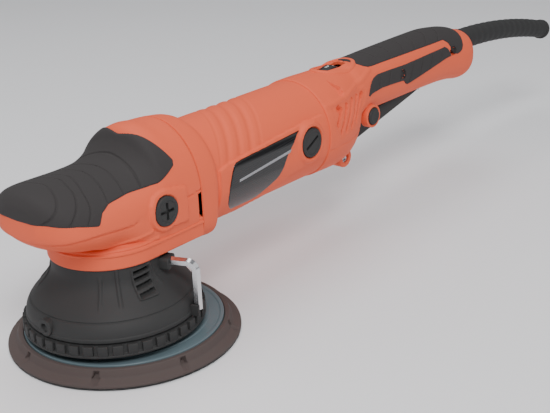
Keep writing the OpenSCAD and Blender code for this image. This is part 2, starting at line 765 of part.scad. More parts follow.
module motor_housing() at_drive() color(orange) difference() {
  union() {
    translate([seam_x + 0.2, 0, axis_z]) rotate([0, 90, 0]) linear_extrude(height = flange_len)
      flange_shape();
    rod_x(seam_x + 0.2, motor_len - 0.2, motor_r);
    for (side = [-1, 1]) {
      side_panel(side);
      on_side(side) rod_y(brush_x, -motor_r - 2.2, axis_z, 10, brush_cap_d / 2 + 2.6);
    }
  }
  difference() {
    union() {
      rod_x(seam_x - 1, 8, screw_ring - 4);
      rod_x(seam_x + 5.5, motor_len, motor_in);
    }
    // Spokes and boss that carry the rear bearing
    rod_x(rear_bearing_x - 3, 11, rear_bearing_r + 2.6);
    for (i = [0:3])
      translate([0, 0, axis_z]) rotate([45 + 90 * i, 0, 0])
        translate([rear_bearing_x - 3, -2, 0]) cube([11, 4, motor_r]);
  }
  rod_x(rear_bearing_x, 20, rear_bearing_r);
  rod_x(rear_bearing_x - 9, 20, rear_bearing_r - 2);
  for (side = [-1, 1]) {
    on_side(side) rod_y(brush_x, -motor_r - 9, axis_z, 30, brush_cap_d / 2);
    on_side(side) side_prism(badge_outline, -motor_r - 5, -motor_r - 1.2 + badge_t);
  }
  for (i = [0:3])
    translate([0, 0, axis_z]) rotate([45 + 90 * i, 0, 0]) {
      rod_x(seam_x - 1, 10, 2.2, 0, screw_ring);
    }
}

module badge(side) at_drive() color("#141414") on_side(side)
  side_prism(badge_outline, -motor_r - 1.2, -motor_r - 1.2 + badge_t);
module badge_left() badge(-1);
module badge_right() badge(1);

module field_stator() at_drive() color("#6a6e71") difference() {
  rod_x(core_x + 1, core_len - 2, motor_in);
  rod_x(core_x - 1, core_len + 2, rotor_d / 2 + air_gap);
  for (side = [-1, 1]) block(core_x - 1, axis_z + side * (rotor_d / 2 + 6) - 3, core_len + 2, 22, 6);
}

// Brush holder: a square guide with a round flange under the cap
module brush_holder(side) at_drive() color(brass) on_side(side) difference() {
  union() {
    block_len = motor_r - comm_r - 6;
    translate([brush_x - brush_w / 2 - 1.5, -motor_r + 2, axis_z - brush_w / 2 - 1.5])
      cube([brush_w + 3, block_len, brush_w + 3]);
    rod_y(brush_x, -motor_r + 1, axis_z, 3, brush_cap_d / 2 - 0.1);
  }
  translate([brush_x - brush_w / 2 - 0.1, -motor_r - 1, axis_z - brush_w / 2 - 0.1])
    cube([brush_w + 0.2, motor_r, brush_w + 0.2]);
}
module brush_holder_left() brush_holder(-1);
module brush_holder_right() brush_holder(1);

module carbon_brush(side) at_drive() color("#3b3b3d") on_side(side)
  translate([brush_x - brush_w / 2, -comm_r - 0.2 - brush_len, axis_z - brush_w / 2])
    cube([brush_w, brush_len, brush_w]);
module carbon_brush_left() carbon_brush(-1);
module carbon_brush_right() carbon_brush(1);

module brush_springs() at_drive() color(steel)
  for (side = [-1, 1]) on_side(side) difference() {
    rod_y(brush_x, -motor_r + 1.2, axis_z, motor_r - comm_r - brush_len - 1.4, 2.6);
    rod_y(brush_x, -motor_r, axis_z, motor_r, 1.8);
  }

module brush_cap(side) at_drive() color(black) on_side(side) difference() {
  rod_y(brush_x, -motor_r - 2.9, axis_z, 3.9, brush_cap_d / 2 - 0.1);
  translate([brush_x - 5.5, -motor_r - 4, axis_z - 0.9]) cube([11, 2.4, 1.8]);
}
module brush_cap_left() brush_cap(-1);
module brush_cap_right() brush_cap(1);

// ---------- Handle ----------

// Stations of the rear housing and the grip
handle_stations = [
  [rear_x + 0.2, motor_r, axis_z, motor_r, motor_r, 2, 2],
  [rear_x + 12, motor_r, axis_z, motor_r, motor_r, 2.05, 2.05],
  [rear_x + 24, motor_r - 1.5, axis_z, motor_r, motor_r, 2.15, 2.15],
  [rear_x + 36, motor_r - 4, axis_z + 1, motor_r - 1, motor_r, 2.25, 2.25],
  [rear_x + 45, motor_r - 7, axis_z + 2, motor_r - 2, motor_r - 1, 2.3, 2.3],
  [rear_x + 50, motor_r - 8.5, axis_z + 3, motor_r - 3, motor_r - 5, 2.3, 2.3],
  [rear_x + 53, motor_r - 9.5, axis_z + 6, motor_r - 6, motor_r - 18, 2.3, 2.3],
  [rear_x + 60, motor_r - 10.5, axis_z + 11, handle_up + 2.5, 18, 2.3, 2.3],
  [grip_x, handle_half_w + 1, handle_z, handle_up, handle_down, 2.35, 2.35],
  [grip_x + grip_len * 0.15, handle_half_w, handle_z, handle_up + 0.3, handle_down, 2.4, 2.4],
  [grip_x + grip_len * 0.4, handle_half_w, handle_z, handle_up + 0.6, handle_down, 2.4, 2.4],
  [grip_x + grip_len * 0.65, handle_half_w, handle_z, handle_up, handle_down + 0.5, 2.4, 2.4],
  [grip_x + grip_len * 0.82, handle_half_w + 0.5, handle_z - 1.5, handle_up - 1, handle_down + 1, 2.3, 2.3],
  [grip_x + grip_len * 0.92, handle_half_w + 1, handle_z - 2.5, handle_up - 3, handle_down + 2.5, 2.3, 2.3],
  [tail_x - 4, handle_half_w, handle_z - 3, handle_up - 4.5, handle_down + 1, 2.3, 2.3],
  [tail_x, handle_half_w - 3, handle_z - 2, handle_up - 6, handle_down - 1, 2.3, 2.3]];

// Outlines, seen from the side, of the soft grips
top_grip_outline = [
  [grip_x - 20, handle_z + 40], [grip_x - 13, handle_z + 18.5], [grip_x + 4, handle_z + 16.2],
  [tail_x - 60, handle_z + 17], [tail_x - 22, handle_z + 13.5], [tail_x - 15, handle_z + 40]];
side_grip_outline = [
  [grip_x - 2, handle_z + 12], [tail_x - 60, handle_z + 12.4], [tail_x - 56, handle_z + 16.5],
  [tail_x - 22, handle_z + 13], [tail_x - 19, handle_z + 3], [tail_x - 36, handle_z],
  [tail_x - 66, handle_z - 3], [grip_x + 42, handle_z - 7], [grip_x + 12, handle_z - 3.5],
  [grip_x - 6, handle_z - 5]];
screw_spots = [[grip_x + 38, handle_z + 4], [tail_x - 36, handle_z + 6.5], [rear_x + 40, axis_z - motor_r + 2]];

module grip_zones() {
  side_prism(top_grip_outline, -40, 40);
  side_prism(side_grip_outline, -40, -8);
  side_prism(side_grip_outline, 8, 40);
}

module handle_half(side) at_drive() color(orange) difference() {
  intersection() {
    union() {
      skin(handle_stations);
      rod_y(lock_x, lock_face_y - 0.5, lock_z, 8, lock_d / 2 + 2.4);
      block(dial_x - 24, axis_z + motor_r - 7.5, 42, 19, 8);
      rod_y(screw_spots[2][0], -12, screw_spots[2][1], 24, 7);
    }
    translate([0, side > 0 ? 0 : -60, 0]) cube([600, 60, 200]);
  }
  difference() {
    skin(handle_stations, -shell_wall - grip_t);
    for (s = screw_spots) rod_y(s[0], -40, s[1], 80, 4.5);
    // Seat for the lock button
    rod_y(lock_x, lock_face_y, lock_z, 9, lock_d / 2 + 2.4);
  }
  rod_x(rear_x - 1, 4, motor_in);
  intersection() {
    grip_zones();
    difference() {
      translate([grip_x - 30, -55, handle_z - 30]) cube([grip_len + 40, 110, 90]);
      skin(handle_stations, -grip_t);
    }
  }
  // Slot for the trigger paddle
  block(paddle_x - 2.5, under_z - 20, paddle_len + 8, paddle_w + 2 * slide + 0.6, 27);
  // Slot and pocket for the speed dial
  block(dial_x - dial_d / 2 - 1, axis_z, dial_d + 2, dial_t + 1.2, 60);
  // Side vents
  for (i = [0:5])
    translate([rear_x + 9 + 6 * i, -60, axis_z - 8 + i]) rotate([0, 24, 0]) cube([2.6, 120, 24]);
  rod_y(lock_x, lock_face_y - 1, lock_z, 20, lock_d / 2 + slide);
  for (s = screw_spots) {
    rod_y(s[0], -15, s[1], 30, 1.7);
    rod_y(s[0], -60, s[1], 60 - 15, 3.6);
  }
  rod_x(tail_x - 12, 30, guard_d / 2 + 0.2, guard_z);
  rod_x(tail_x - guard_root - 0.3, 5.6, guard_d / 2 + 2.3, guard_z);
  rod_y(pivot_x, -14, pivot_z, 28, pin_r);
}
module handle_half_left() handle_half(-1);
module handle_half_right() handle_half(1);

module top_grip() at_drive() color(rubber) intersection() {
  side_prism(top_grip_outline, -40, 40);
  difference() {
    skin(handle_stations);
    skin(handle_stations, -grip_t);
  }
}

module side_grip(side) at_drive() color(rubber) difference() {
  intersection() {
    on_side(side) side_prism(side_grip_outline, -40, -8);
    difference() {
      skin(handle_stations);
      skin(handle_stations, -grip_t);
    }
  }
  for (s = screw_spots) rod_y(s[0], -60, s[1], 60, 3.6);
}
module side_grip_left() side_grip(-1);
module side_grip_right() side_grip(1);

module handle_screws() at_drive() color(steel)
  for (s = screw_spots) {
    rod_y(s[0], -16, s[1], 25, 1.7);
    difference() {
      rod_y(s[0], -17.2, s[1], 2.2, 3.3);
      translate([s[0] - 2, -18, s[1] - 0.5]) cube([4, 1.8, 1]);
      translate([s[0] - 0.5, -18, s[1] - 2]) cube([1, 1.8, 4]);
    }
  }

module speed_dial() at_drive() color(black) difference() {
  union() {
    rod_y(dial_x, -dial_t / 2, dial_z, dial_t, dial_d / 2 - 0.5, 96);
    for (i = [0:35])
      translate([dial_x, 0, dial_z]) rotate([0, 10 * i, 0])
        translate([-0.7, -dial_t / 2, dial_d / 2 - 1.5]) cube([1.4, dial_t, 1.5]);
  }
  rod_y(dial_x, -dial_t, dial_z, 2 * dial_t, 3 + run);
}

module speed_board() at_drive() {
  color("#2f6b46") block(dial_x - 17, dial_z - dial_d / 2 - 5, 28, 23, 1.6);
  // The rear edge of the board reaches the walls of the handle
  color("#2f6b46") intersection() {
    block(dial_x + 7, dial_z - dial_d / 2 - 5, 4, 80, 1.6);
    skin(handle_stations, -shell_wall - grip_t);
  }
  color("#222") rod_y(dial_x, -dial_t / 2 - 3, dial_z, dial_t + 5, 3);
  color("#222") for (y = [-dial_t / 2 - 3.5, dial_t / 2 + 1.5])
    translate([dial_x - 4, y, dial_z - dial_d / 2 - 4]) cube([8, 2, dial_d / 2 + 8]);
  color("#777") block(dial_x - 14, dial_z - dial_d / 2 - 12, 10, 14, 7.2);
}

module switch_body() at_drive() color("#1f1f20") difference() {
  block(switch_x, switch_z, 28, 18, 17);
  translate([switch_x + 10, 0, switch_z - 1]) cylinder(h = 9, r = 3 + slide);
}

module switch_plunger() at_drive() color("#d8d6cf")
  translate([switch_x + 10, 0, switch_z - 5]) cylinder(h = 6, r = 3);

// Side outline of the paddle, from its front end to its hinge
module trigger_paddle() at_drive() color(black) difference() {
  union() {
    side_prism([
      [paddle_x, under_z - 15], [paddle_x + 3, under_z - 17], [pivot_x - 6, under_z - 0.5],
      [pivot_x + 3, under_z + 1], [pivot_x + 3.5, pivot_z + 2], [pivot_x - 2, pivot_z + 3],
      [paddle_x + 20, under_z - 2], [paddle_x + 3, under_z - 5]], -paddle_w / 2, paddle_w / 2);
    // Post that lifts the switch plunger
    translate([switch_x + 10, 0, under_z - 7]) cylinder(h = switch_z - 5.3 - under_z + 7, r = 3.6);
  }
  rod_y(pivot_x, -20, pivot_z, 40, pin_r + run);
  translate([spring_x, 0, under_z - 3.7]) cylinder(h = 30, r = 3.5);
}

module trigger_pin() at_drive() color(steel) rod_y(pivot_x, -14, pivot_z, 28, pin_r);

module trigger_spring() at_drive() color(steel) translate([spring_x, 0, under_z - 3.5]) difference() {
  cylinder(h = switch_z - under_z + 3.3, r = 3);
  translate([0, 0, -1]) cylinder(h = 30, r = 2.2);
}

module lock_button() at_drive() color(black) union() {
  rod_y(lock_x, lock_face_y - 2, lock_z, 6, lock_d / 2);
  rod_y(lock_x, lock_face_y + 4 - eps, lock_z, 6.5, 2.5);
}

module lock_spring() at_drive() color(steel) difference() {
  rod_y(lock_x, lock_face_y + 4.1, lock_z, 5, 3.8);
  rod_y(lock_x, lock_face_y + 3, lock_z, 8, 3.1);
}

// ---------- Tail ----------

module terminal_block() at_drive() color("#e6e2d6")
  // Midway between the handle's two screws
  translate([(screw_spots[0][0] + screw_spots[1][0]) / 2, 0, 0]) difference() {
    block(-13, handle_z - 8, 26, 16, 14);
    for (x = [-8, 0, 8], y = [-4, 4]) translate([x, y, handle_z]) cylinder(h = 10, r = 1.8);
  }

module cord_clamp() at_drive() color("#1f1f20") difference() {
  block(tail_x - 30, guard_z - 9, 11, 22, 16);
  rod_x(tail_x - 35, 20, lead_d / 2, guard_z);
}

// The guard: a root held in the tail, a curved tapering sleeve and a rounded rim at its mouth

// A point on the guard's curve, at an angle along it, r out from its middle at turn a
function guard_point(along, r, a) =
  let (reach = guard_curve + r * sin(a))
    [tail_x + reach * sin(along), r * cos(a), guard_z - guard_curve + reach * cos(along)];
function guard_r(t) = (guard_d + (guard_tip_d - guard_d) * t) / 2;

// A tube along the curve from t0 to t1, as shares of the guard, with a radius for each end
module guard_sweep(t0, t1, r0, r1) {
  points = [
    for (k = [0:guard_rings])
      let (u = k / guard_rings, along = guard_turn * (t0 + (t1 - t0) * u), r = r0 + (r1 - r0) * u)
        for (i = [0:guard_sides - 1]) guard_point(along, r, 360 * i / guard_sides)];
  walls = [
    for (k = [0:guard_rings - 1], i = [0:guard_sides - 1])
      let (j = (i + 1) % guard_sides, a = k * guard_sides, b = a + guard_sides)
        each [[a + i, b + i, a + j], [a + j, b + i, b + j]]];
  ends = [
    [for (i = [0:guard_sides - 1]) i],
    [for (i = [guard_sides - 1:-1:0]) guard_rings * guard_sides + i]];
  polyhedron(points = points, faces = concat(walls, ends));
}

// Places a piece at the guard's mouth, with +X out of it
module at_mouth() translate([tail_x, 0, guard_z - guard_curve]) rotate([0, guard_turn, 0])
  translate([0, 0, guard_curve]) children();

module cord_guard() at_drive() color(black) difference() {
  union() {
    rod_x(tail_x - guard_root, guard_root + 0.5, guard_d / 2, guard_z);
    rod_x(tail_x - guard_root, 5, guard_d / 2 + 2, guard_z);
    guard_sweep(0, 1, guard_r(0), guard_r(1));
    at_mouth() rod_x(-4, 4, guard_tip_d / 2 + 1, 0);
  }
  rod_x(tail_x - guard_root - 1, guard_root + 2, lead_d / 2, guard_z);
  guard_sweep(0, 1 - (mouth_len - 2) / guard_len, lead_d / 2 - 0.05, lead_d / 2 - 0.05);
  at_mouth() rod_x(-mouth_len, mouth_len + 5, lead_d / 2, 0);
}

hook_face();
pad_foam();
backing_plate();
pad_bolt();
pad_spindle();
pad_bearing_lower();
pad_bearing_upper();
counterweight();
drive_spindle();
crown_gear();
lower_bearing();
upper_bearing();
shroud();
shroud_ring();
shroud_screws();
key_clip();
hex_key();
gear_case();
head_shell();
front_grip();
side_cap_left();
side_cap_right();
head_screws();
bevel_pinion();
rotor_shaft();
front_bearing();
rear_bearing();
cooling_fan();
rotor_core();
rotor_windings();
commutator();
field_stator();
motor_housing();
badge_left();
badge_right();
brush_holder_left();
brush_holder_right();
carbon_brush_left();
carbon_brush_right();
brush_springs();
brush_cap_left();
brush_cap_right();
handle_half_left();
handle_half_right();
top_grip();
side_grip_left();
side_grip_right();
handle_screws();
speed_dial();
speed_board();
switch_body();
switch_plunger();
trigger_paddle();
trigger_pin();
trigger_spring();
lock_button();
lock_spring();
terminal_block();
cord_clamp();
cord_guard();
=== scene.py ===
"""Looks of a dual action polisher: moulded shells, soft grips, pad, shroud, key and works.

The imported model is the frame. Lengths here are millimetres, X counts from the drive axis, and
Shop.solid turns both into the frame's metres. Heights named "above the motor" count from the
motor's axis.
"""

import logging
import math
from dataclasses import astuple, dataclass, field
from enum import Enum
from typing import Any, Callable, Optional, Sequence, Union

import bmesh
import bpy
import numpy as np
from mathutils import Matrix, Vector


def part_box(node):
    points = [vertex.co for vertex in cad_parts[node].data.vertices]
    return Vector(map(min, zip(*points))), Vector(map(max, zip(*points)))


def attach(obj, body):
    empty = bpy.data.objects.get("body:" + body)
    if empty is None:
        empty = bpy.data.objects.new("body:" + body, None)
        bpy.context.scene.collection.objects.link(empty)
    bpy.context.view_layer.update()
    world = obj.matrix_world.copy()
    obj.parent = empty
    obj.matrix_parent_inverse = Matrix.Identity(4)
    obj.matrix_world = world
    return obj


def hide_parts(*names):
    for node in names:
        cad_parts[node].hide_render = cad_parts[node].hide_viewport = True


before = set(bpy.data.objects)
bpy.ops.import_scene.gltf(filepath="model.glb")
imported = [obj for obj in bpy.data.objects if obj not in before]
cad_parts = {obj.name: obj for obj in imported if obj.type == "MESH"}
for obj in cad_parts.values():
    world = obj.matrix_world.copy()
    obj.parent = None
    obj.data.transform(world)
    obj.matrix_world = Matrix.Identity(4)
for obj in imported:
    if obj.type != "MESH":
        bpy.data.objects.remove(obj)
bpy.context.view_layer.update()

MM = 0.001
LEFT = -1
RIGHT = 1
CREASE = math.radians(38)
log = logging.getLogger("polisher")

Colour = tuple[float, float, float]
Outline = Sequence[tuple[float, float]]
Relief = Callable[[np.ndarray], np.ndarray]


# ---------- Where things are ----------


@dataclass(frozen=True)
class Datum:
    """Planes and axes of the machine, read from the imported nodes, in millimetres."""

    drive_x: float
    axis_z: float
    head_z: float
    bell_z: float
    ring_z: float
    plate_z: float
    pad_r: float
    plate_r: float
    ring_r: float
    seam_x: float
    tail_x: float

    @classmethod
    def read(cls) -> "Datum":
        """Reads the planes from the boxes of the nodes that set them.

        Returns:
            The machine's planes and axes.
        """
        drive = cls._middle("lower_bearing", 0)
        return cls(
            drive_x=drive,
            axis_z=cls._middle("rotor_core", 2),
            head_z=cls._edge("head_shell", 0, 2),
            bell_z=cls._edge("shroud", 0, 2),
            ring_z=cls._edge("shroud_ring", 0, 2),
            plate_z=cls._edge("backing_plate", 0, 2),
            pad_r=cls._edge("hook_face", 1, 1),
            plate_r=cls._edge("backing_plate", 1, 1),
            ring_r=cls._edge("shroud_ring", 1, 1),
            seam_x=cls._edge("motor_housing", 0, 0) - drive,
            tail_x=cls._edge("handle_half_left", 1, 0) - drive,
        )

    @staticmethod
    def _edge(node: str, end: int, axis: int) -> float:
        """The lowest (0) or highest (1) place of a node along an axis."""
        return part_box(node)[end][axis] / MM

    @classmethod
    def _middle(cls, node: str, axis: int) -> float:
        """The middle of a node along an axis."""
        return (cls._edge(node, 0, axis) + cls._edge(node, 1, axis)) / 2


# ---------- Shaping ----------


def ease(value: np.ndarray, low: float, high: float) -> np.ndarray:
    """A smooth step from 0 at low to 1 at high."""
    t = np.clip((value - low) / (high - low), 0.0, 1.0)
    return t * t * (3 - 2 * t)


def round_edge(distance: np.ndarray, radius: float) -> np.ndarray:
    """How far a rounded edge has risen, from 0 at the edge to 1 a radius inside it."""
    t = 1 - np.clip(distance / radius, 0.0, 1.0)
    return np.sqrt(np.maximum(0.0, 1 - t * t))


def to_line(a: np.ndarray, b: np.ndarray, line: Outline) -> np.ndarray:
    """Distance of points from an open line.

    Args:
        a: First coordinate of the points.
        b: Second coordinate of the points.
        line: The corners of the line.

    Returns:
        The shortest distance of each point.
    """
    best = np.full(np.broadcast(a, b).shape, 1e9)
    for (a0, b0), (a1, b1) in zip(line[:-1], line[1:]):
        da, db = a1 - a0, b1 - b0
        t = np.clip(((a - a0) * da + (b - b0) * db) / (da * da + db * db), 0, 1)
        best = np.minimum(best, np.hypot(a - a0 - t * da, b - b0 - t * db))
    return best


def to_outline(a: np.ndarray, b: np.ndarray, outline: Outline) -> np.ndarray:
    """Signed distance of points from a closed outline, below 0 inside it.

    Args:
        a: First coordinate of the points.
        b: Second coordinate of the points.
        outline: The corners of the outline.

    Returns:
        The signed distance of each point.
    """
    ring = [*outline, outline[0]]
    inside = np.zeros(np.broadcast(a, b).shape, bool)
    for (a0, b0), (a1, b1) in zip(ring[:-1], ring[1:]):
        if b0 == b1:
            continue
        crossing = (b0 > b) != (b1 > b)
        inside ^= crossing & (a < (a1 - a0) * (b - b0) / (b1 - b0) + a0)
    return np.where(inside, -1.0, 1.0) * to_line(a, b, ring)


def raised(distance: np.ndarray, height: float, soft: float) -> np.ndarray:
    """A raised field inside a signed distance, with a soft border."""
    return height * (1 - ease(distance, -soft, 0.0))


def line_cut(distance: np.ndarray, width: float, depth: float) -> np.ndarray:
    """A groove of that width along a distance of 0."""
    return -depth * (1 - ease(np.abs(distance), width * 0.25, width * 0.62))


def fillet(corners: Sequence[tuple[float, ...]], steps: int = 5) -> list[tuple[float, float]]:
    """Rounds the corners of a closed outline.

    Args:
        corners: Corners as (a, b) or (a, b, radius).
        steps: Points on each arc.

    Returns:
        The outline with an arc in place of each rounded corner.
    """
    out: list[tuple[float, float]] = []
    count = len(corners)
    for i, corner in enumerate(corners):
        here = Vector(corner[:2])
        radius = corner[2] if len(corner) > 2 else 0.0
        before = Vector(corners[i - 1][:2]) - here
        after = Vector(corners[(i + 1) % count][:2]) - here
        if radius <= 0 or before.length < 1e-6 or after.length < 1e-6:
            out.append((here.x, here.y))
            continue
        half = before.angle(after) / 2
        reach = min(radius / math.tan(half), before.length * 0.49, after.length * 0.49)
        first = here + before.normalized() * reach
        last = here + after.normalized() * reach
        for k in range(steps + 1):
            t = k / steps
            spot = first * (1 - t) ** 2 + here * (2 * t * (1 - t)) + last * t * t
            out.append((spot.x, spot.y))
    return out


def polygon(count: int, radius: float) -> list[tuple[float, float]]:
    """The corners of a regular outline."""
    turns = [math.radians(360 / count * i) for i in range(count)]
    return [(radius * math.cos(t), radius * math.sin(t)) for t in turns]


def strip(start: float, end: float, half: float, corner: float) -> list[tuple[float, float]]:
    """A long outline with rounded corners, from start to end and as wide on both sides."""
    return fillet([(start, -half, corner), (end, -half, corner), (end, half, corner),
                   (start, half, corner)])


def hand(side: int) -> str:
    """The word for a side of the machine."""
    return "left" if side == LEFT else "right"


def bend(value: np.ndarray, power: np.ndarray) -> np.ndarray:
    """A power that keeps the sign."""
    return np.sign(value) * np.abs(value) ** power


@dataclass(frozen=True)
class Station:
    """One section of a shell, square to X; heights count from the motor's axis.

    low_power and top_power say how square the lower and the upper half are: 2 is an ellipse.
    """

    x: float
    half: float
    middle: float
    up: float
    down: float
    low_power: float = 2.0
    top_power: float = 2.0


class Loft:
    """A smooth skin through stations, addressed by a share along it and a turn around it."""

    def __init__(self, stations: Sequence[Station], axis_z: float, pole: bool = False) -> None:
        """Prepares the curves through the stations.

        Args:
            stations: The sections, in order along X.
            axis_z: Height of the motor's axis.
            pole: Whether the first station is a rounded tip.
        """
        self.table = np.array([astuple(s) for s in stations], float)
        self.table[:, 2] += axis_z
        gaps = np.sqrt(np.linalg.norm(np.diff(self.table[:, :5], axis=0), axis=1))
        self.at = np.concatenate([[0.0], np.cumsum(gaps)]) / gaps.sum()
        rise = np.diff(self.table, axis=0) / np.diff(self.at)[:, None]
        before, after = rise[:-1], rise[1:]
        both = before * after > 0
        mean = 2 * before * after / np.where(both, before + after, 1.0)
        self.slope = np.concatenate([rise[:1], np.where(both, mean, 0.0), rise[-1:]])
        if pole:
            self.slope[0] *= 1.4
            self.slope[0, 0] = 0.0
        self.fine = np.linspace(0, 1, 2001)
        self.fine_x = self.sections(self.fine)[:, 0]

    def sections(self, share: np.ndarray) -> np.ndarray:
        """The section values at shares along the skin."""
        share = np.asarray(share, float)
        k = np.clip(np.searchsorted(self.at, share, side="right") - 1, 0, len(self.at) - 2)
        span = self.at[k + 1] - self.at[k]
        t = ((share - self.at[k]) / span)[..., None]
        span = span[..., None]
        start, end = self.table[k], self.table[k + 1]
        lean, fall = self.slope[k] * span, self.slope[k + 1] * span
        return (start * (1 + 2 * t) * (1 - t) ** 2 + lean * t * (1 - t) ** 2
                + end * t * t * (3 - 2 * t) + fall * t * t * (t - 1))

    def share_at(self, x: np.ndarray) -> np.ndarray:
        """The share along the skin at a place in X."""
        return np.interp(x, self.fine_x, self.fine)

    def points(self, share: np.ndarray, turn: np.ndarray) -> np.ndarray:
        """Points of the skin; turn is 0 on the right, a quarter turn on top."""
        s = self.sections(share)
        c, v = np.cos(turn), np.sin(turn)
        top = v > 0
        power = 2 / np.where(top, s[..., 6], s[..., 5])
        reach = np.where(top, s[..., 3], s[..., 4])
        y = s[..., 1] * bend(c, power)
        z = s[..., 2] + reach * bend(v, power)
        return np.stack(np.broadcast_arrays(s[..., 0], y, z), axis=-1)

    def turn_at(self, share: np.ndarray, z: np.ndarray) -> np.ndarray:
        """The turn on the right-hand side at a height."""
        s = self.sections(share)
        rise = z - s[..., 2]
        top = rise > 0
        reach = np.maximum(np.where(top, s[..., 3], s[..., 4]), 1e-3)
        power = np.where(top, s[..., 6], s[..., 5]) / 2
        return np.arcsin(bend(np.clip(rise / reach, -1, 1), power))

    def frame(self, share: np.ndarray, turn: np.ndarray) -> tuple[np.ndarray, np.ndarray]:
        """Points of the skin and the directions out of it.

        Args:
            share: Shares along the skin.
            turn: Turns around it, in radians.

        Returns:
            The points and the unit normals.
        """
        share, turn = np.broadcast_arrays(share, turn)
        hop = 2e-3
        along = self.points(np.minimum(share + hop, 1), turn)
        along -= self.points(np.maximum(share - hop, 0), turn)
        around = self.points(share, turn + hop) - self.points(share, turn - hop)
        out = np.cross(around, along)
        size = np.linalg.norm(out, axis=-1, keepdims=True)
        tip = np.array([-1.0, 0.0, 0.0])
        out = np.where(size > 1e-9, out / np.maximum(size, 1e-9), tip)
        return self.points(share, turn), out


# ---------- Making meshes ----------


class Shop:
    """Makes finished objects in the shared frame."""

    def __init__(self, datum: Datum) -> None:
        """Keeps the drive axis, which X counts from."""
        self.datum = datum

    def solid(self, name: str, points: np.ndarray, faces: Sequence[Sequence[int]],
              hollow: Optional[np.ndarray] = None) -> bpy.types.Object:
        """Makes a closed object from points and faces.

        Args:
            name: Name of the piece.
            points: Points in millimetres, with X from the drive axis.
            faces: Corner numbers of each face.
            hollow: How deep each point lies in a recess, which the finish darkens as painted shade.

        Returns:
            The object, at the origin, with its place in its mesh.
        """
        spots = (np.asarray(points, float).reshape(-1, 3) + [self.datum.drive_x, 0, 0]) * MM
        mesh = bpy.data.meshes.new(name)
        mesh.from_pydata(spots.tolist(), [], faces)
        if hollow is not None:
            layer = mesh.attributes.new("hollow", "FLOAT", "POINT")
            layer.data.foreach_set("value", np.asarray(hollow, np.float32).ravel())
        return self.wrap(name, mesh)

    def wrap(self, name: str, mesh: bpy.types.Mesh) -> bpy.types.Object:
        """Cleans a mesh, turns its faces outwards and puts it in the scene."""
        work = bmesh.new()
        work.from_mesh(mesh)
        bmesh.ops.remove_doubles(work, verts=work.verts, dist=2e-6)
        bmesh.ops.dissolve_degenerate(work, edges=work.edges, dist=1e-7)
        bmesh.ops.recalc_face_normals(work, faces=work.faces)
        work.to_mesh(mesh)
        work.free()
        mesh.shade_smooth()
        mesh.set_sharp_from_angle(angle=CREASE)
        piece = bpy.data.objects.new(name, mesh)
        bpy.context.scene.collection.objects.link(piece)
        return piece

    @staticmethod
    def grid_faces(rows: int, columns: int, closed: bool) -> list[list[int]]:
        """Four-sided faces of a grid of points, row by row."""
        i = np.arange(rows - 1)[:, None] * columns
        j = np.arange(columns if closed else columns - 1)[None, :]
        k = (j + 1) % columns
        faces = np.stack([i + j, i + k, i + columns + k, i + columns + j], axis=-1)
        return faces.reshape(-1, 4).tolist()

    def tube(self, name: str, grid: np.ndarray, hollow: Optional[np.ndarray] = None,
             ends: bool = True) -> bpy.types.Object:
        """A closed body from rings of points, with its ends filled.

        Args:
            name: Name of the piece.
            grid: Points as rings by points by three.
            hollow: Recess depth of each point.
            ends: Whether the first and last rings are filled; without, they join up.

        Returns:
            The object.
        """
        rows, columns = grid.shape[:2]
        points = grid.reshape(-1, 3)
        faces = self.grid_faces(rows, columns, True)
        depth = None if hollow is None else np.broadcast_to(hollow, grid.shape[:2]).ravel()
        if ends:
            points = np.concatenate([points, grid[0].mean(0)[None], grid[-1].mean(0)[None]])
            first, last = rows * columns, rows * columns + 1
            for j in range(columns):
                k = (j + 1) % columns
                faces.append([k, j, first])
                faces.append([last - 1 - columns + j, last - 1 - columns + k, last])
            if depth is not None:
                depth = np.concatenate([depth, [0.0, 0.0]])
        else:
            base = (rows - 1) * columns
            faces += [[base + j, base + (j + 1) % columns, (j + 1) % columns, j]
                      for j in range(columns)]
        return self.solid(name, points, faces, depth)

    def sheet(self, name: str, top: np.ndarray, low: np.ndarray,
              hollow: Optional[np.ndarray] = None) -> bpy.types.Object:
        """A closed body between two grids of points.

        Args:
            name: Name of the piece.
            top: The outer grid, rows by columns by three.
            low: The inner grid, of the same size.
            hollow: Recess depth of each outer point.

        Returns:
            The object.
        """
        rows, columns = top.shape[:2]
        count = rows * columns
        upper = self.grid_faces(rows, columns, False)
        lower = [[count + i for i in reversed(face)] for face in upper]
        rim = ([j for j in range(columns)]
               + [i * columns + columns - 1 for i in range(1, rows)]
               + [(rows - 1) * columns + j for j in range(columns - 2, -1, -1)]
               + [i * columns for i in range(rows - 2, 0, -1)])
        walls = [[b, a, count + a, count + b] for a, b in zip(rim, rim[1:] + rim[:1])]
        points = np.concatenate([top.reshape(-1, 3), low.reshape(-1, 3)])
        depth = None
        if hollow is not None:
            flat = np.broadcast_to(hollow, (rows, columns)).ravel()
            depth = np.concatenate([flat, flat])
        return self.solid(name, points, upper + lower + walls, depth)

    def lathe(self, name: str, profile: Sequence[tuple[float, float]], place: Matrix,
              steps: int = 96) -> bpy.types.Object:
        """Turns a closed profile of (radius, height) about an axis.

        Args:
            name: Name of the piece.
            profile: Corners of the profile; a radius of 0 lies on the axis.
            place: Puts the turned body, whose axis is Z, where it belongs.
            steps: Points around.

        Returns:
            The object.
        """
        turn = np.linspace(0, 2 * math.pi, steps, endpoint=False)[None, :]
        r = np.array([p[0] for p in profile])[:, None]
        z = np.array([p[1] for p in profile])[:, None]
        grid = np.stack(np.broadcast_arrays(r * np.cos(turn), r * np.sin(turn), z), axis=-1)
        spin = np.array(place)
        grid = grid @ spin[:3, :3].T + spin[:3, 3]
        return self.tube(name, grid, ends=False)

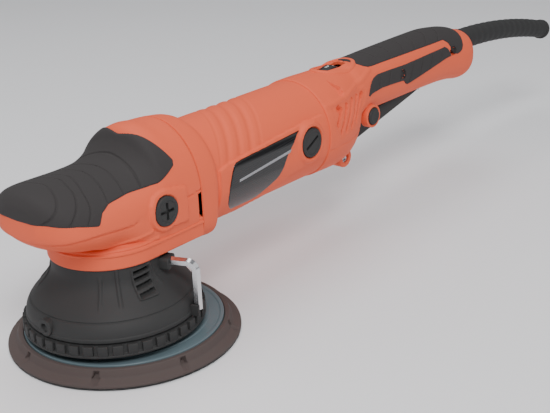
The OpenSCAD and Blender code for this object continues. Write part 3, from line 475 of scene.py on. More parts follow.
    def slab(self, name: str, outline: Outline, low: float, high: float, place: Matrix,
             edge: float = 0.6) -> bpy.types.Object:
        """A plate with rounded edges, from an outline raised along Z.

        Args:
            name: Name of the piece.
            outline: Corners of the outline.
            low: Where the plate starts.
            high: Where it ends.
            place: Puts the plate where it belongs.
            edge: Radius of its edges.

        Returns:
            The object.
        """
        work = bmesh.new()
        ring = [work.verts.new((a, b, low)) for a, b in outline]
        face = work.faces.new(ring)
        lifted = bmesh.ops.extrude_face_region(work, geom=[face])["geom"]
        moved = [v for v in lifted if isinstance(v, bmesh.types.BMVert)]
        bmesh.ops.translate(work, verts=moved, vec=(0, 0, high - low))
        bmesh.ops.recalc_face_normals(work, faces=work.faces)
        if edge > 0:
            sharp = [e for e in work.edges if e.is_manifold and e.calc_face_angle(0) > 0.6]
            bmesh.ops.bevel(work, geom=sharp, offset=edge, segments=3, profile=0.5,
                            affect="EDGES", clamp_overlap=True)
        bmesh.ops.triangulate(work, faces=[f for f in work.faces if len(f.verts) > 4])
        mesh = bpy.data.meshes.new(name)
        work.to_mesh(mesh)
        work.free()
        shift = Matrix.Translation((self.datum.drive_x, 0, 0))
        mesh.transform(Matrix.Scale(MM, 4) @ shift @ place)
        return self.wrap(name, mesh)

    @staticmethod
    def carve(piece: bpy.types.Object, *cutters: bpy.types.Object) -> None:
        """Cuts shapes out of a piece and removes them."""
        for cutter in cutters:
            cut = piece.modifiers.new("cut", "BOOLEAN")
            cut.operation = "DIFFERENCE"
            cut.solver = "EXACT"
            cut.object = cutter
        bpy.context.view_layer.update()
        live = piece.evaluated_get(bpy.context.evaluated_depsgraph_get())
        mesh = bpy.data.meshes.new_from_object(live)
        piece.modifiers.clear()
        old, piece.data = piece.data, mesh
        bpy.data.meshes.remove(old)
        for cutter in cutters:
            bpy.data.objects.remove(cutter)
        mesh.shade_smooth()
        mesh.set_sharp_from_angle(angle=CREASE)


def upright(x: float) -> Matrix:
    """Puts a body whose axis is Z upright at a place along the machine."""
    return Matrix.Translation((x, 0, 0))


def sideways(x: float, y: float, z: float, side: int) -> Matrix:
    """Lays a body whose axis is Z along Y, so that its top faces a side of the machine."""
    quarter = Matrix.Rotation(math.radians(90 if side == LEFT else -90), 4, "X")
    return Matrix.Translation((x, y, z)) @ quarter


# ---------- Finishes ----------


class Signal:
    """A shader value that takes part in Python arithmetic."""

    def __init__(self, graph: "Graph", socket: bpy.types.NodeSocket) -> None:
        """Keeps the socket that carries the value."""
        self.graph = graph
        self.socket = socket

    def _math(self, kind: str, *values: Any) -> "Signal":
        """A Math node of a kind on this value and others."""
        sockets = dict(enumerate((self, *values)))
        return self.graph.node("ShaderNodeMath", {"operation": kind}, sockets)

    def __add__(self, other: Any) -> "Signal":
        """This value plus another."""
        return self._math("ADD", other)

    __radd__ = __add__

    def __mul__(self, other: Any) -> "Signal":
        """This value times another."""
        return self._math("MULTIPLY", other)

    __rmul__ = __mul__

    def __sub__(self, other: Any) -> "Signal":
        """This value less another."""
        return self._math("SUBTRACT", other)

    def __rsub__(self, other: Any) -> "Signal":
        """Another value less this one."""
        return self._math("MULTIPLY", -1.0)._math("ADD", other)

    def __abs__(self) -> "Signal":
        """This value without its sign."""
        return self._math("ABSOLUTE")

    def wrap(self) -> "Signal":
        """The part of this value after the point."""
        return self._math("FRACT")

    def ramp(self, low: float, high: float) -> "Signal":
        """A smooth step of this value, from 0 at low to 1 at high."""
        settings = {"interpolation_type": "SMOOTHSTEP"}
        sockets = {0: self, 1: low, 2: high, 3: 0.0, 4: 1.0}
        return self.graph.node("ShaderNodeMapRange", settings, sockets)


class Graph:
    """Builds the node tree of one material."""

    def __init__(self, name: str) -> None:
        """Makes the material with its shader and output."""
        self.material = bpy.data.materials.new(name)
        self.material.use_nodes = True
        self.tree = self.material.node_tree
        self.tree.nodes.clear()
        self.shader = self.tree.nodes.new("ShaderNodeBsdfPrincipled")
        self.out = self.tree.nodes.new("ShaderNodeOutputMaterial")
        self.tree.links.new(self.shader.outputs[0], self.out.inputs[0])

    def feed(self, socket: bpy.types.NodeSocket, value: Any) -> None:
        """Links a signal to a socket, or sets a plain value on it."""
        if isinstance(value, Signal):
            self.tree.links.new(value.socket, socket)
        elif socket.type == "RGBA" and len(value) == 3:
            socket.default_value = (*value, 1.0)
        else:
            socket.default_value = value

    def node(self, kind: str, settings: dict[str, Any], sockets: dict[Any, Any],
             output: Union[int, str] = 0) -> Signal:
        """Adds a node.

        Args:
            kind: Type of the node.
            settings: Its settings.
            sockets: Values or signals of its inputs, by number or name.
            output: The output that is wanted.

        Returns:
            The signal of that output.
        """
        made = self.tree.nodes.new(kind)
        for key, value in settings.items():
            setattr(made, key, value)
        for key, value in sockets.items():
            self.feed(made.inputs[key], value)
        return Signal(self, made.outputs[output])

    def place(self, stretch: tuple[float, float, float] = (1.0, 1.0, 1.0)) -> Signal:
        """Object coordinates in millimetres, stretched along each axis."""
        spot = self.node("ShaderNodeTexCoord", {}, {}, "Object")
        grow = tuple(1 / (MM * s) for s in stretch)
        return self.node("ShaderNodeVectorMath", {"operation": "MULTIPLY"}, {0: spot, 1: grow})

    def axes(self) -> tuple[Signal, Signal, Signal]:
        """Object coordinates in millimetres, one signal for each axis."""
        split = self.tree.nodes.new("ShaderNodeSeparateXYZ")
        self.feed(split.inputs[0], self.place())
        return tuple(Signal(self, end) for end in split.outputs)

    def noise(self, size: float, detail: float = 2.0,
              stretch: tuple[float, float, float] = (1.0, 1.0, 1.0)) -> Signal:
        """Soft noise whose grains are about a size in millimetres."""
        sockets = {"Vector": self.place(stretch), "Scale": 1 / size, "Detail": detail}
        return self.node("ShaderNodeTexNoise", {}, sockets, "Fac")

    def cells(self, size: float) -> Signal:
        """Distance to the middles of cells about a size in millimetres."""
        sockets = {"Vector": self.place(), "Scale": 1 / size}
        return self.node("ShaderNodeTexVoronoi", {}, sockets, "Distance")

    def attribute(self, name: str) -> Signal:
        """A number that the mesh carries."""
        return self.node("ShaderNodeAttribute", {"attribute_name": name}, {}, "Fac")

    def blend(self, mask: Signal, low: Any, high: Any) -> Signal:
        """A colour between two, by a mask."""
        settings = {"data_type": "RGBA", "blend_type": "MIX"}
        return self.node("ShaderNodeMix", settings, {0: mask, 6: low, 7: high}, 2)

    def bump(self, height: Signal, depth: float) -> Signal:
        """A bump of a depth in millimetres from heights between 0 and 1."""
        sockets = {"Strength": 1.0, "Distance": depth * MM, "Height": height}
        return self.node("ShaderNodeBump", {}, sockets, "Normal")

    def surface(self, **values: Any) -> bpy.types.Material:
        """Feeds the shader's sockets; an underscore stands for a space.

        Args:
            **values: A value or signal for each socket named.

        Returns:
            The finished material.
        """
        for key, value in values.items():
            self.feed(self.shader.inputs[key.replace("_", " ")], value)
        return self.material


def tint(red: int, green: int, blue: int) -> Colour:
    """A colour of the scene from the 0 to 255 values of a display."""
    def straight(value: int) -> float:
        """One channel without the display's curve."""
        v = value / 255
        return v / 12.92 if v <= 0.04045 else ((v + 0.055) / 1.055) ** 2.4
    return (straight(red), straight(green), straight(blue))


def shade(colour: Colour, factor: float) -> Colour:
    """A colour made lighter or darker."""
    return tuple(min(1.0, c * factor) for c in colour)


@dataclass(frozen=True)
class Finish:
    """A finish of the machine, made into a material once."""

    name: str

    def paint(self, graph: Graph) -> bpy.types.Material:
        """Builds the nodes.

        Args:
            graph: The material's graph.

        Returns:
            The finished material.
        """
        raise NotImplementedError

    def material(self) -> bpy.types.Material:
        """The material, which is built on first use."""
        known = bpy.data.materials.get(self.name)
        return known if known else self.paint(Graph(self.name))

    def apply(self, *pieces: bpy.types.Object) -> None:
        """Gives the finish to every slot of the pieces."""
        made = self.material()
        for piece in pieces:
            piece.data.materials.clear()
            piece.data.materials.append(made)

    def coat_node(self, *names: str) -> None:
        """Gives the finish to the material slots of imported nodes."""
        for name in names:
            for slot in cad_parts[name].material_slots:
                slot.material = self.material()


@dataclass(frozen=True)
class Moulding(Finish):
    """Injection-moulded plastic: spark-eroded grain, faint mottling and painted shade in its hollows."""

    colour: Colour
    rough: float
    grain: float = 0.55
    depth: float = 0.02
    mottle: float = 0.08
    # Share of the colour left in the deepest recesses: painted shade.
    dark: float = 0.35
    coat: float = 0.0

    def paint(self, graph: Graph) -> bpy.types.Material:
        """Grain in the bump, slow variation in the colour and gloss."""
        slow = graph.noise(38.0, 3.0)
        fine = graph.noise(self.grain, 3.0)
        hollow = graph.attribute("hollow").ramp(0.7, 2.0)
        skin = graph.blend(slow, shade(self.colour, 1 - self.mottle),
                           shade(self.colour, 1 + self.mottle))
        # Painted shade: recesses darken by their depth towards the dark share of the colour.
        skin = graph.blend(hollow, skin, shade(self.colour, self.dark))
        scuff = graph.noise(3.2, 4.0, (6.0, 1.0, 1.0)).ramp(0.58, 0.78)
        rough = slow * 0.10 + scuff * 0.05 + (self.rough - 0.06) + fine * 0.05
        return graph.surface(Base_Color=skin, Roughness=rough, Coat_Weight=self.coat,
                             Coat_Roughness=0.12, Specular_IOR_Level=0.28,
                             Normal=graph.bump(fine, self.depth))


@dataclass(frozen=True)
class SoftGrip(Finish):
    """Over-moulded rubber with a matt, faintly pebbled skin and shine on handled places."""

    colour: Colour
    rough: float = 0.62
    pebble: float = 0.8

    def paint(self, graph: Graph) -> bpy.types.Material:
        """Pebbles in the bump, handling marks in the gloss."""
        cell = graph.cells(self.pebble)
        slow = graph.noise(24.0, 3.0)
        wear = graph.noise(9.0, 4.0).ramp(0.5, 0.75)
        hollow = graph.attribute("hollow").ramp(0.1, 0.6)
        skin = graph.blend(slow, shade(self.colour, 0.86), shade(self.colour, 1.12))
        # Painted shade: grooves, holes and the guard's bore darken to a third of the colour by their depth.
        skin = graph.blend(hollow, skin, shade(self.colour, 0.3))
        rough = slow * 0.1 + (self.rough - 0.02) - wear * 0.09
        bump = graph.bump(cell * 0.7 + graph.noise(0.3) * 0.5, 0.035)
        return graph.surface(Base_Color=skin, Roughness=rough, Specular_IOR_Level=0.3,
                             Sheen_Weight=0.02, Sheen_Roughness=0.5, Normal=bump)


@dataclass(frozen=True)
class Foam(Finish):
    """Cut or skinned foam with open cells."""

    colour: Colour
    cell: float = 0.7
    rough: float = 0.9

    def paint(self, graph: Graph) -> bpy.types.Material:
        """Cells in the bump, and in the colour painted shade in the cell pits and the vents."""
        cell = graph.cells(self.cell)
        slow = graph.noise(16.0, 4.0)
        # Painted shade in the cells: the walls between the pits are lightened.
        pit = cell.ramp(0.15, 0.6)
        skin = graph.blend(slow, shade(self.colour, 0.8), shade(self.colour, 1.2))
        skin = graph.blend(pit * 0.35, skin, shade(self.colour, 1.5))
        # Painted shade: the vents and pin marks darken by their depth.
        skin = graph.blend(graph.attribute("hollow").ramp(0.1, 1.0), skin,
                           shade(self.colour, 0.25))
        return graph.surface(Base_Color=skin, Roughness=self.rough,
                             Normal=graph.bump(cell + graph.noise(0.4) * 0.4, 0.12))


@dataclass(frozen=True)
class HookCloth(Finish):
    """The hook half of hook-and-loop cloth: tiny stiff hooks over a woven ground."""

    colour: Colour
    speck: Colour

    def paint(self, graph: Graph) -> bpy.types.Material:
        """Light hook tips on a dark ground."""
        tip = graph.cells(1.1)
        weave = graph.noise(0.35, 3.0)
        mask = (1 - tip.ramp(0.10, 0.34)) * weave.ramp(0.4, 0.6)
        skin = graph.blend(mask, self.colour, self.speck)
        return graph.surface(Base_Color=skin, Roughness=0.62,
                             Normal=graph.bump(1 - tip + weave * 0.3, 0.25))


class Lay(Enum):
    """The way that a metal's tool marks run."""

    ALONG_X = (30.0, 1.0, 1.0)
    AROUND_Z = (14.0, 14.0, 0.35)
    CAST = (1.0, 1.0, 1.0)


@dataclass(frozen=True)
class Metal(Finish):
    """Worked metal, with tool marks, oil film and dulled places."""

    colour: Colour
    rough: float
    lay: Lay = Lay.ALONG_X
    mark: float = 0.35
    depth: float = 0.01

    def paint(self, graph: Graph) -> bpy.types.Material:
        """Tool marks in the bump and the gloss."""
        mark = graph.noise(self.mark, 4.0, self.lay.value)
        slow = graph.noise(14.0, 3.0)
        dull = graph.noise(5.0, 5.0).ramp(0.52, 0.8)
        skin = graph.blend(slow, shade(self.colour, 0.88), shade(self.colour, 1.06))
        skin = graph.blend(dull * 0.4, skin, shade(self.colour, 0.7))
        rough = mark * 0.12 + slow * 0.06 + (self.rough - 0.09) + dull * 0.08
        return graph.surface(Base_Color=skin, Metallic=1.0, Roughness=rough,
                             Normal=graph.bump(mark, self.depth))


@dataclass(frozen=True)
class Winding(Finish):
    """Enamelled copper wire, laid turn beside turn."""

    colour: Colour
    pitch: float = 0.7

    def paint(self, graph: Graph) -> bpy.types.Material:
        """Turns of wire as a rounded wave, with varnish over them and painted shade where the turns meet."""
        x, y, z = graph.axes()
        lean = x * 0.15 + y + z * 0.6
        turn = abs((lean * (1 / self.pitch)).wrap() - 0.5) * 2
        slow = graph.noise(6.0, 3.0)
        skin = graph.blend(slow, shade(self.colour, 0.7), self.colour)
        # Painted shade in the crevices between the turns.
        skin = graph.blend(turn.ramp(0.6, 1.0), skin, shade(self.colour, 0.25))
        return graph.surface(Base_Color=skin, Metallic=0.85, Roughness=slow * 0.1 + 0.28,
                             Coat_Weight=0.4, Coat_Roughness=0.2,
                             Normal=graph.bump(1 - turn, 0.25))


@dataclass(frozen=True)
class Stack(Finish):
    """Thin iron sheets pressed together along X, with varnish at their edges."""

    colour: Colour
    pitch: float = 0.65

    def paint(self, graph: Graph) -> bpy.types.Material:
        """Sheet edges as fine lines across X."""
        x, _, _ = graph.axes()
        gap = abs((x * (1 / self.pitch)).wrap() - 0.5) * 2
        slow = graph.noise(9.0, 4.0)
        skin = graph.blend(slow, shade(self.colour, 0.75), shade(self.colour, 1.15))
        skin = graph.blend(gap.ramp(0.65, 1.0), skin, shade(self.colour, 0.3))
        return graph.surface(Base_Color=skin, Metallic=0.8, Roughness=slow * 0.15 + 0.38,
                             Normal=graph.bump(1 - gap, 0.12))


@dataclass(frozen=True)
class Nameplate(Finish):
    """A glossy black name plate without a name: pinstripes below, a lighter band above."""

    colour: Colour
    stripe: Colour
    pitch: float = 1.5

    def paint(self, graph: Graph) -> bpy.types.Material:
        """Slanting pinstripes under a clear, slightly wavy skin."""
        x, _, z = graph.axes()
        lean = (z - x * 0.09) * (1 / self.pitch)
        line = 1 - abs(lean.wrap() - 0.5).ramp(0.05, 0.12)
        low = 1 - (z - x * 0.09).ramp(88.5, 90.5)
        slow = graph.noise(30.0, 2.0)
        skin = graph.blend(slow, self.colour, shade(self.colour, 1.5))
        skin = graph.blend(line * low * 0.8, skin, self.stripe)
        rough = slow * 0.05 + 0.12 + line * low * 0.2
        return graph.surface(Base_Color=skin, Roughness=rough, Coat_Weight=0.25,
                             Coat_Roughness=0.05, Specular_IOR_Level=0.4,
                             Normal=graph.bump(slow, 0.05))


@dataclass(frozen=True)
class Floor(Finish):
    """A plain pale floor."""

    colour: Colour

    def paint(self, graph: Graph) -> bpy.types.Material:
        """Almost even, so that the shadow reads."""
        slow = graph.noise(300.0, 2.0)
        skin = graph.blend(slow, shade(self.colour, 0.985), self.colour)
        return graph.surface(Base_Color=skin, Roughness=0.7, Specular_IOR_Level=0.15)


class Finishes:
    """Every finish of the machine."""

    orange = Moulding("orange_shell", (0.84, 0.034, 0.005), 0.4, mottle=0.03, dark=0.12)
    black = Moulding("black_plastic", tint(11, 10, 10), 0.46, dark=0.3)
    gloss = Moulding("gloss_black", tint(10, 10, 11), 0.22, depth=0.004, dark=0.6, coat=0.2)
    plate = Moulding("pad_plate", tint(96, 112, 118), 0.34, mottle=0.05, dark=0.5, coat=0.1)
    brown = Moulding("holder_resin", tint(78, 48, 28), 0.45, depth=0.03)
    white = Moulding("terminal_nylon", tint(222, 220, 210), 0.45)
    board = Moulding("speed_board", tint(28, 92, 52), 0.35, mottle=0.2, coat=0.4)
    silver = Moulding("silver_print", tint(150, 150, 154), 0.4, depth=0.004, mottle=0.04)
    numeral = Moulding("dial_numeral", tint(226, 226, 222), 0.5, depth=0.004, mottle=0.02)
    rubber = SoftGrip("grip_rubber", tint(14, 13, 13), 0.56)
    guard = SoftGrip("guard_rubber", tint(17, 17, 18), 0.48, 0.5)
    foam = Foam("pad_foam", tint(44, 36, 34))
    hooks = HookCloth("hook_cloth", tint(20, 19, 19), tint(150, 146, 138))
    steel = Metal("bright_steel", tint(190, 190, 192), 0.28)
    turned = Metal("turned_steel", tint(196, 196, 198), 0.22, Lay.AROUND_Z)
    chrome = Metal("chrome_key", tint(214, 214, 216), 0.2, Lay.CAST, 1.4, 0.006)
    alloy = Metal("cast_alloy", tint(168, 170, 172), 0.48, Lay.CAST, 1.1, 0.06)
    weight = Metal("cast_weight", tint(122, 120, 116), 0.55, Lay.CAST, 1.4, 0.09)
    brass = Metal("brass", tint(206, 168, 92), 0.3)
    carbon = Metal("brush_carbon", tint(52, 52, 54), 0.6, Lay.CAST, 0.5, 0.03)
    copper = Winding("copper_wire", tint(190, 96, 46))
    bars = Metal("copper_bars", tint(200, 112, 66), 0.3)
    iron = Stack("iron_sheets", tint(104, 102, 100))
    badge = Nameplate("side_plate", tint(8, 8, 9), tint(48, 48, 51))
    floor = Floor("pale_floor", tint(238, 238, 240))


# ---------- Repeats ----------


class Pattern:
    """A Geometry Nodes tree that lays out copies of a shape and ends in a plain mesh."""

    def __init__(self, name: str, **inputs: tuple[str, Any]) -> None:
        """Starts the tree.

        Args:
            name: Name of the tree.
            **inputs: Socket type and value of each named input.
        """
        self.tree = bpy.data.node_groups.new(name, "GeometryNodeTree")
        face = self.tree.interface
        face.new_socket("Ground", in_out="INPUT", socket_type="NodeSocketGeometry")
        self.known = {}
        for key, (kind, value) in inputs.items():
            made = face.new_socket(key, in_out="INPUT", socket_type=kind)
            self.known[key] = (made.identifier, value)
        face.new_socket("Result", in_out="OUTPUT", socket_type="NodeSocketGeometry")
        self.source = self.tree.nodes.new("NodeGroupInput")
        self.sink = self.tree.nodes.new("NodeGroupOutput")

    def given(self, name: str) -> bpy.types.NodeSocket:
        """The socket of a named input."""
        return self.source.outputs[name]

    def node(self, kind: str, settings: dict[str, Any], sockets: dict[Any, Any],
             output: Union[int, str] = 0) -> bpy.types.NodeSocket:
        """Adds a node.

        Args:
            kind: Type of the node.
            settings: Its settings, set first.
            sockets: Values or sockets that feed its inputs.
            output: The output that is wanted.

        Returns:
            The socket of that output.
        """
        made = self.tree.nodes.new(kind)
        for key, value in settings.items():
            setattr(made, key, value)
        for key, value in sockets.items():
            if isinstance(value, bpy.types.NodeSocket):
                self.tree.links.new(value, made.inputs[key])
            else:
                made.inputs[key].default_value = value
        return made.outputs[output]

    def maths(self, kind: str, *values: Any) -> bpy.types.NodeSocket:
        """A Math node of a kind."""
        return self.node("ShaderNodeMath", {"operation": kind}, dict(enumerate(values)))

    def finish(self, spots: bpy.types.NodeSocket, turn: bpy.types.NodeSocket) -> None:
        """Puts the shape on the spots and closes the tree.

        Args:
            spots: Points that the copies stand on.
            turn: Rotation of each copy.
        """
        shape = self.node("GeometryNodeObjectInfo", {}, {"Object": self.given("Shape")},
                          "Geometry")
        copies = self.node("GeometryNodeInstanceOnPoints", {},
                           {"Points": spots, "Instance": shape, "Rotation": turn})
        real = self.node("GeometryNodeRealizeInstances", {}, {"Geometry": copies})
        dressed = self.node("GeometryNodeSetMaterial", {},
                            {"Geometry": real, "Material": self.given("Finish")})
        self.tree.links.new(dressed, self.sink.inputs[0])

    def run(self, name: str, ground: bpy.types.Mesh) -> bpy.types.Mesh:
        """Evaluates the tree over a ground mesh.

        Args:
            name: Name of the mesh.
            ground: Mesh that the tree starts from.

        Returns:
            The laid-out copies as one plain mesh.
        """
        holder = bpy.data.objects.new(name, ground)
        bpy.context.scene.collection.objects.link(holder)
        live = holder.modifiers.new("pattern", "NODES")
        live.node_group = self.tree
        for identifier, value in self.known.values():
            live[identifier] = value
        bpy.context.view_layer.update()
        result = holder.evaluated_get(bpy.context.evaluated_depsgraph_get())
        mesh = bpy.data.meshes.new_from_object(result)
        holder.modifiers.remove(live)
        bpy.data.objects.remove(holder)
        return mesh


def ring_pattern(shop: Shop, name: str, shape: bpy.types.Object, finish: Finish, count: int,
                 radius: float, start: float, place: Matrix) -> bpy.types.Object:
    """Repeats a shape around an axis.

    Args:
        shop: Maker of the object.
        name: Name of the piece.
        shape: One copy at the origin, in metres, pointing outwards along X.
        finish: Finish of the copies.
        count: Number of copies.
        radius: Radius of the ring in millimetres.
        start: Angle of the first copy in degrees.
        place: Puts the ring, whose axis is Z, where it belongs, in millimetres.

    Returns:
        The ring of copies.
    """
    made = Pattern(
        name + "_layout",
        Shape=("NodeSocketObject", shape),
        Finish=("NodeSocketMaterial", finish.material()),
        Count=("NodeSocketInt", count),
        Radius=("NodeSocketFloat", radius * MM),
        Start=("NodeSocketFloat", math.radians(start)),
    )
    index = made.node("GeometryNodeInputIndex", {}, {})
    step = made.maths("DIVIDE", 2 * math.pi, made.given("Count"))
    angle = made.maths("ADD", made.maths("MULTIPLY", index, step), made.given("Start"))
    spot = made.node("ShaderNodeCombineXYZ", {}, {
        0: made.maths("MULTIPLY", made.maths("COSINE", angle), made.given("Radius")),
        1: made.maths("MULTIPLY", made.maths("SINE", angle), made.given("Radius"))})
    spots = made.node("GeometryNodePoints", {}, {"Count": made.given("Count"), "Position": spot})
    store = made.node("GeometryNodeStoreNamedAttribute",
                      {"data_type": "FLOAT", "domain": "POINT"},
                      {"Geometry": spots, "Name": "turn", "Value": angle})
    kept = made.node("GeometryNodeInputNamedAttribute", {"data_type": "FLOAT"}, {"Name": "turn"})
    turn = made.node("ShaderNodeCombineXYZ", {}, {2: kept})
    made.finish(store, turn)
    mesh = made.run(name, bpy.data.meshes.new(name + "_ground"))
    bpy.data.objects.remove(shape)
    shift = Matrix.Translation(Vector((shop.datum.drive_x, 0, 0)))
    mesh.transform(Matrix.Scale(MM, 4) @ shift @ place @ Matrix.Scale(1 / MM, 4))
    return shop.wrap(name, mesh)


# ---------- Sub-assemblies ----------


@dataclass
class Assembly:
    """Something that the machine is built from."""

    shop: Shop

    @property
    def at(self) -> Datum:
        """The machine's planes."""
        return self.shop.datum

    def fit(self, piece: bpy.types.Object, body: str, slot: str, finish: Finish,
            *nodes: str) -> bpy.types.Object:
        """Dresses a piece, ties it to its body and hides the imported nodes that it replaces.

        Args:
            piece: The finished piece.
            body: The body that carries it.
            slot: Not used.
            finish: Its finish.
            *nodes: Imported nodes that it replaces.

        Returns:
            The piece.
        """
        finish.apply(piece)
        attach(piece, body)
        if nodes:
            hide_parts(*nodes)
        log.info("%-24s %7d faces", piece.name, len(piece.data.polygons))
        return piece

    def shell(self, name: str, loft: Loft, shares: np.ndarray, columns: int, relief: Relief,
              wall: float) -> bpy.types.Object:
        """A closed shell all round a loft.

        Args:
            name: Name of the piece.
            loft: The skin's shape.
            shares: Places of the outer rings along the skin.
            columns: Points around.
            relief: Millimetres that each point moves outwards.
            wall: Thickness.

        Returns:
            The object.
        """
        turn = np.linspace(-math.pi / 2, 1.5 * math.pi, columns, endpoint=False)[None, :]
        outer, out = loft.frame(shares[:, None], turn)
        move = relief(outer)
        inner_shares = np.linspace(shares[-1], shares[0], 24)[:, None]
        inner, inward = loft.frame(inner_shares, turn)
        grid = np.concatenate([outer + out * move[..., None], inner - inward * wall])
        # Sunken relief carries its depth, which the finish darkens as painted shade.
        depth = np.concatenate([np.maximum(-move, 0), np.zeros(inner.shape[:2])])
        return self.shop.tube(name, grid, depth, ends=False)

    def clad(self, name: str, points: np.ndarray, cut: np.ndarray, lift: float = 0.75,
             sink: float = 0.8, edge: float = 1.4) -> bpy.types.Object:
        """A soft or thin layer over a skin, rolled down all round its border.

        Args:
            name: Name of the piece.
            points: Grid of points on the skin.
            cut: Millimetres that each point moves outwards by, for grooves.
            lift: How far the layer stands proud.
            sink: How far its border goes under the skin.
            edge: Radius of its border.

        Returns:
            The object.
        """
        along = np.gradient(points, axis=0)
        across = np.gradient(points, axis=1)
        out = np.cross(across, along)
        size = np.linalg.norm(out, axis=-1, keepdims=True)
        out = out / np.maximum(size, 1e-9)
        middle = points[points.shape[0] // 2, points.shape[1] // 2]
        heart = points.reshape(-1, 3).mean(0) - [0, 0, 12]
        mid_out = out[points.shape[0] // 2, points.shape[1] // 2]
        if np.dot(mid_out, middle - heart * [1, 0.2, 1]) < 0:
            out = -out
        rim = np.concatenate([points[0], points[:, -1], points[-1][::-1], points[::-1, 0]])
        gaps = np.concatenate([[0], np.cumsum(np.linalg.norm(np.diff(rim, axis=0), axis=1))])
        fine = np.arange(0, gaps[-1], 0.35)
        dense = np.stack([np.interp(fine, gaps, rim[:, k]) for k in range(3)], axis=-1)
        flat = points.reshape(-1, 1, 3)
        near = np.concatenate([np.sqrt(((part - dense[None]) ** 2).sum(-1).min(1))
                               for part in np.array_split(flat, 80)])
        near = near.reshape(points.shape[:2])
        rise = -sink + (lift + sink) * round_edge(near, edge)
        rise = rise + cut * ease(near, 0.2, 1.2)
        top = points + out * rise[..., None]
        low = points - out * (sink + 0.35)
        # Grooves and holes carry their depth, which the finish darkens as painted shade.
        return self.shop.sheet(name, top, low, np.maximum(-cut, 0))


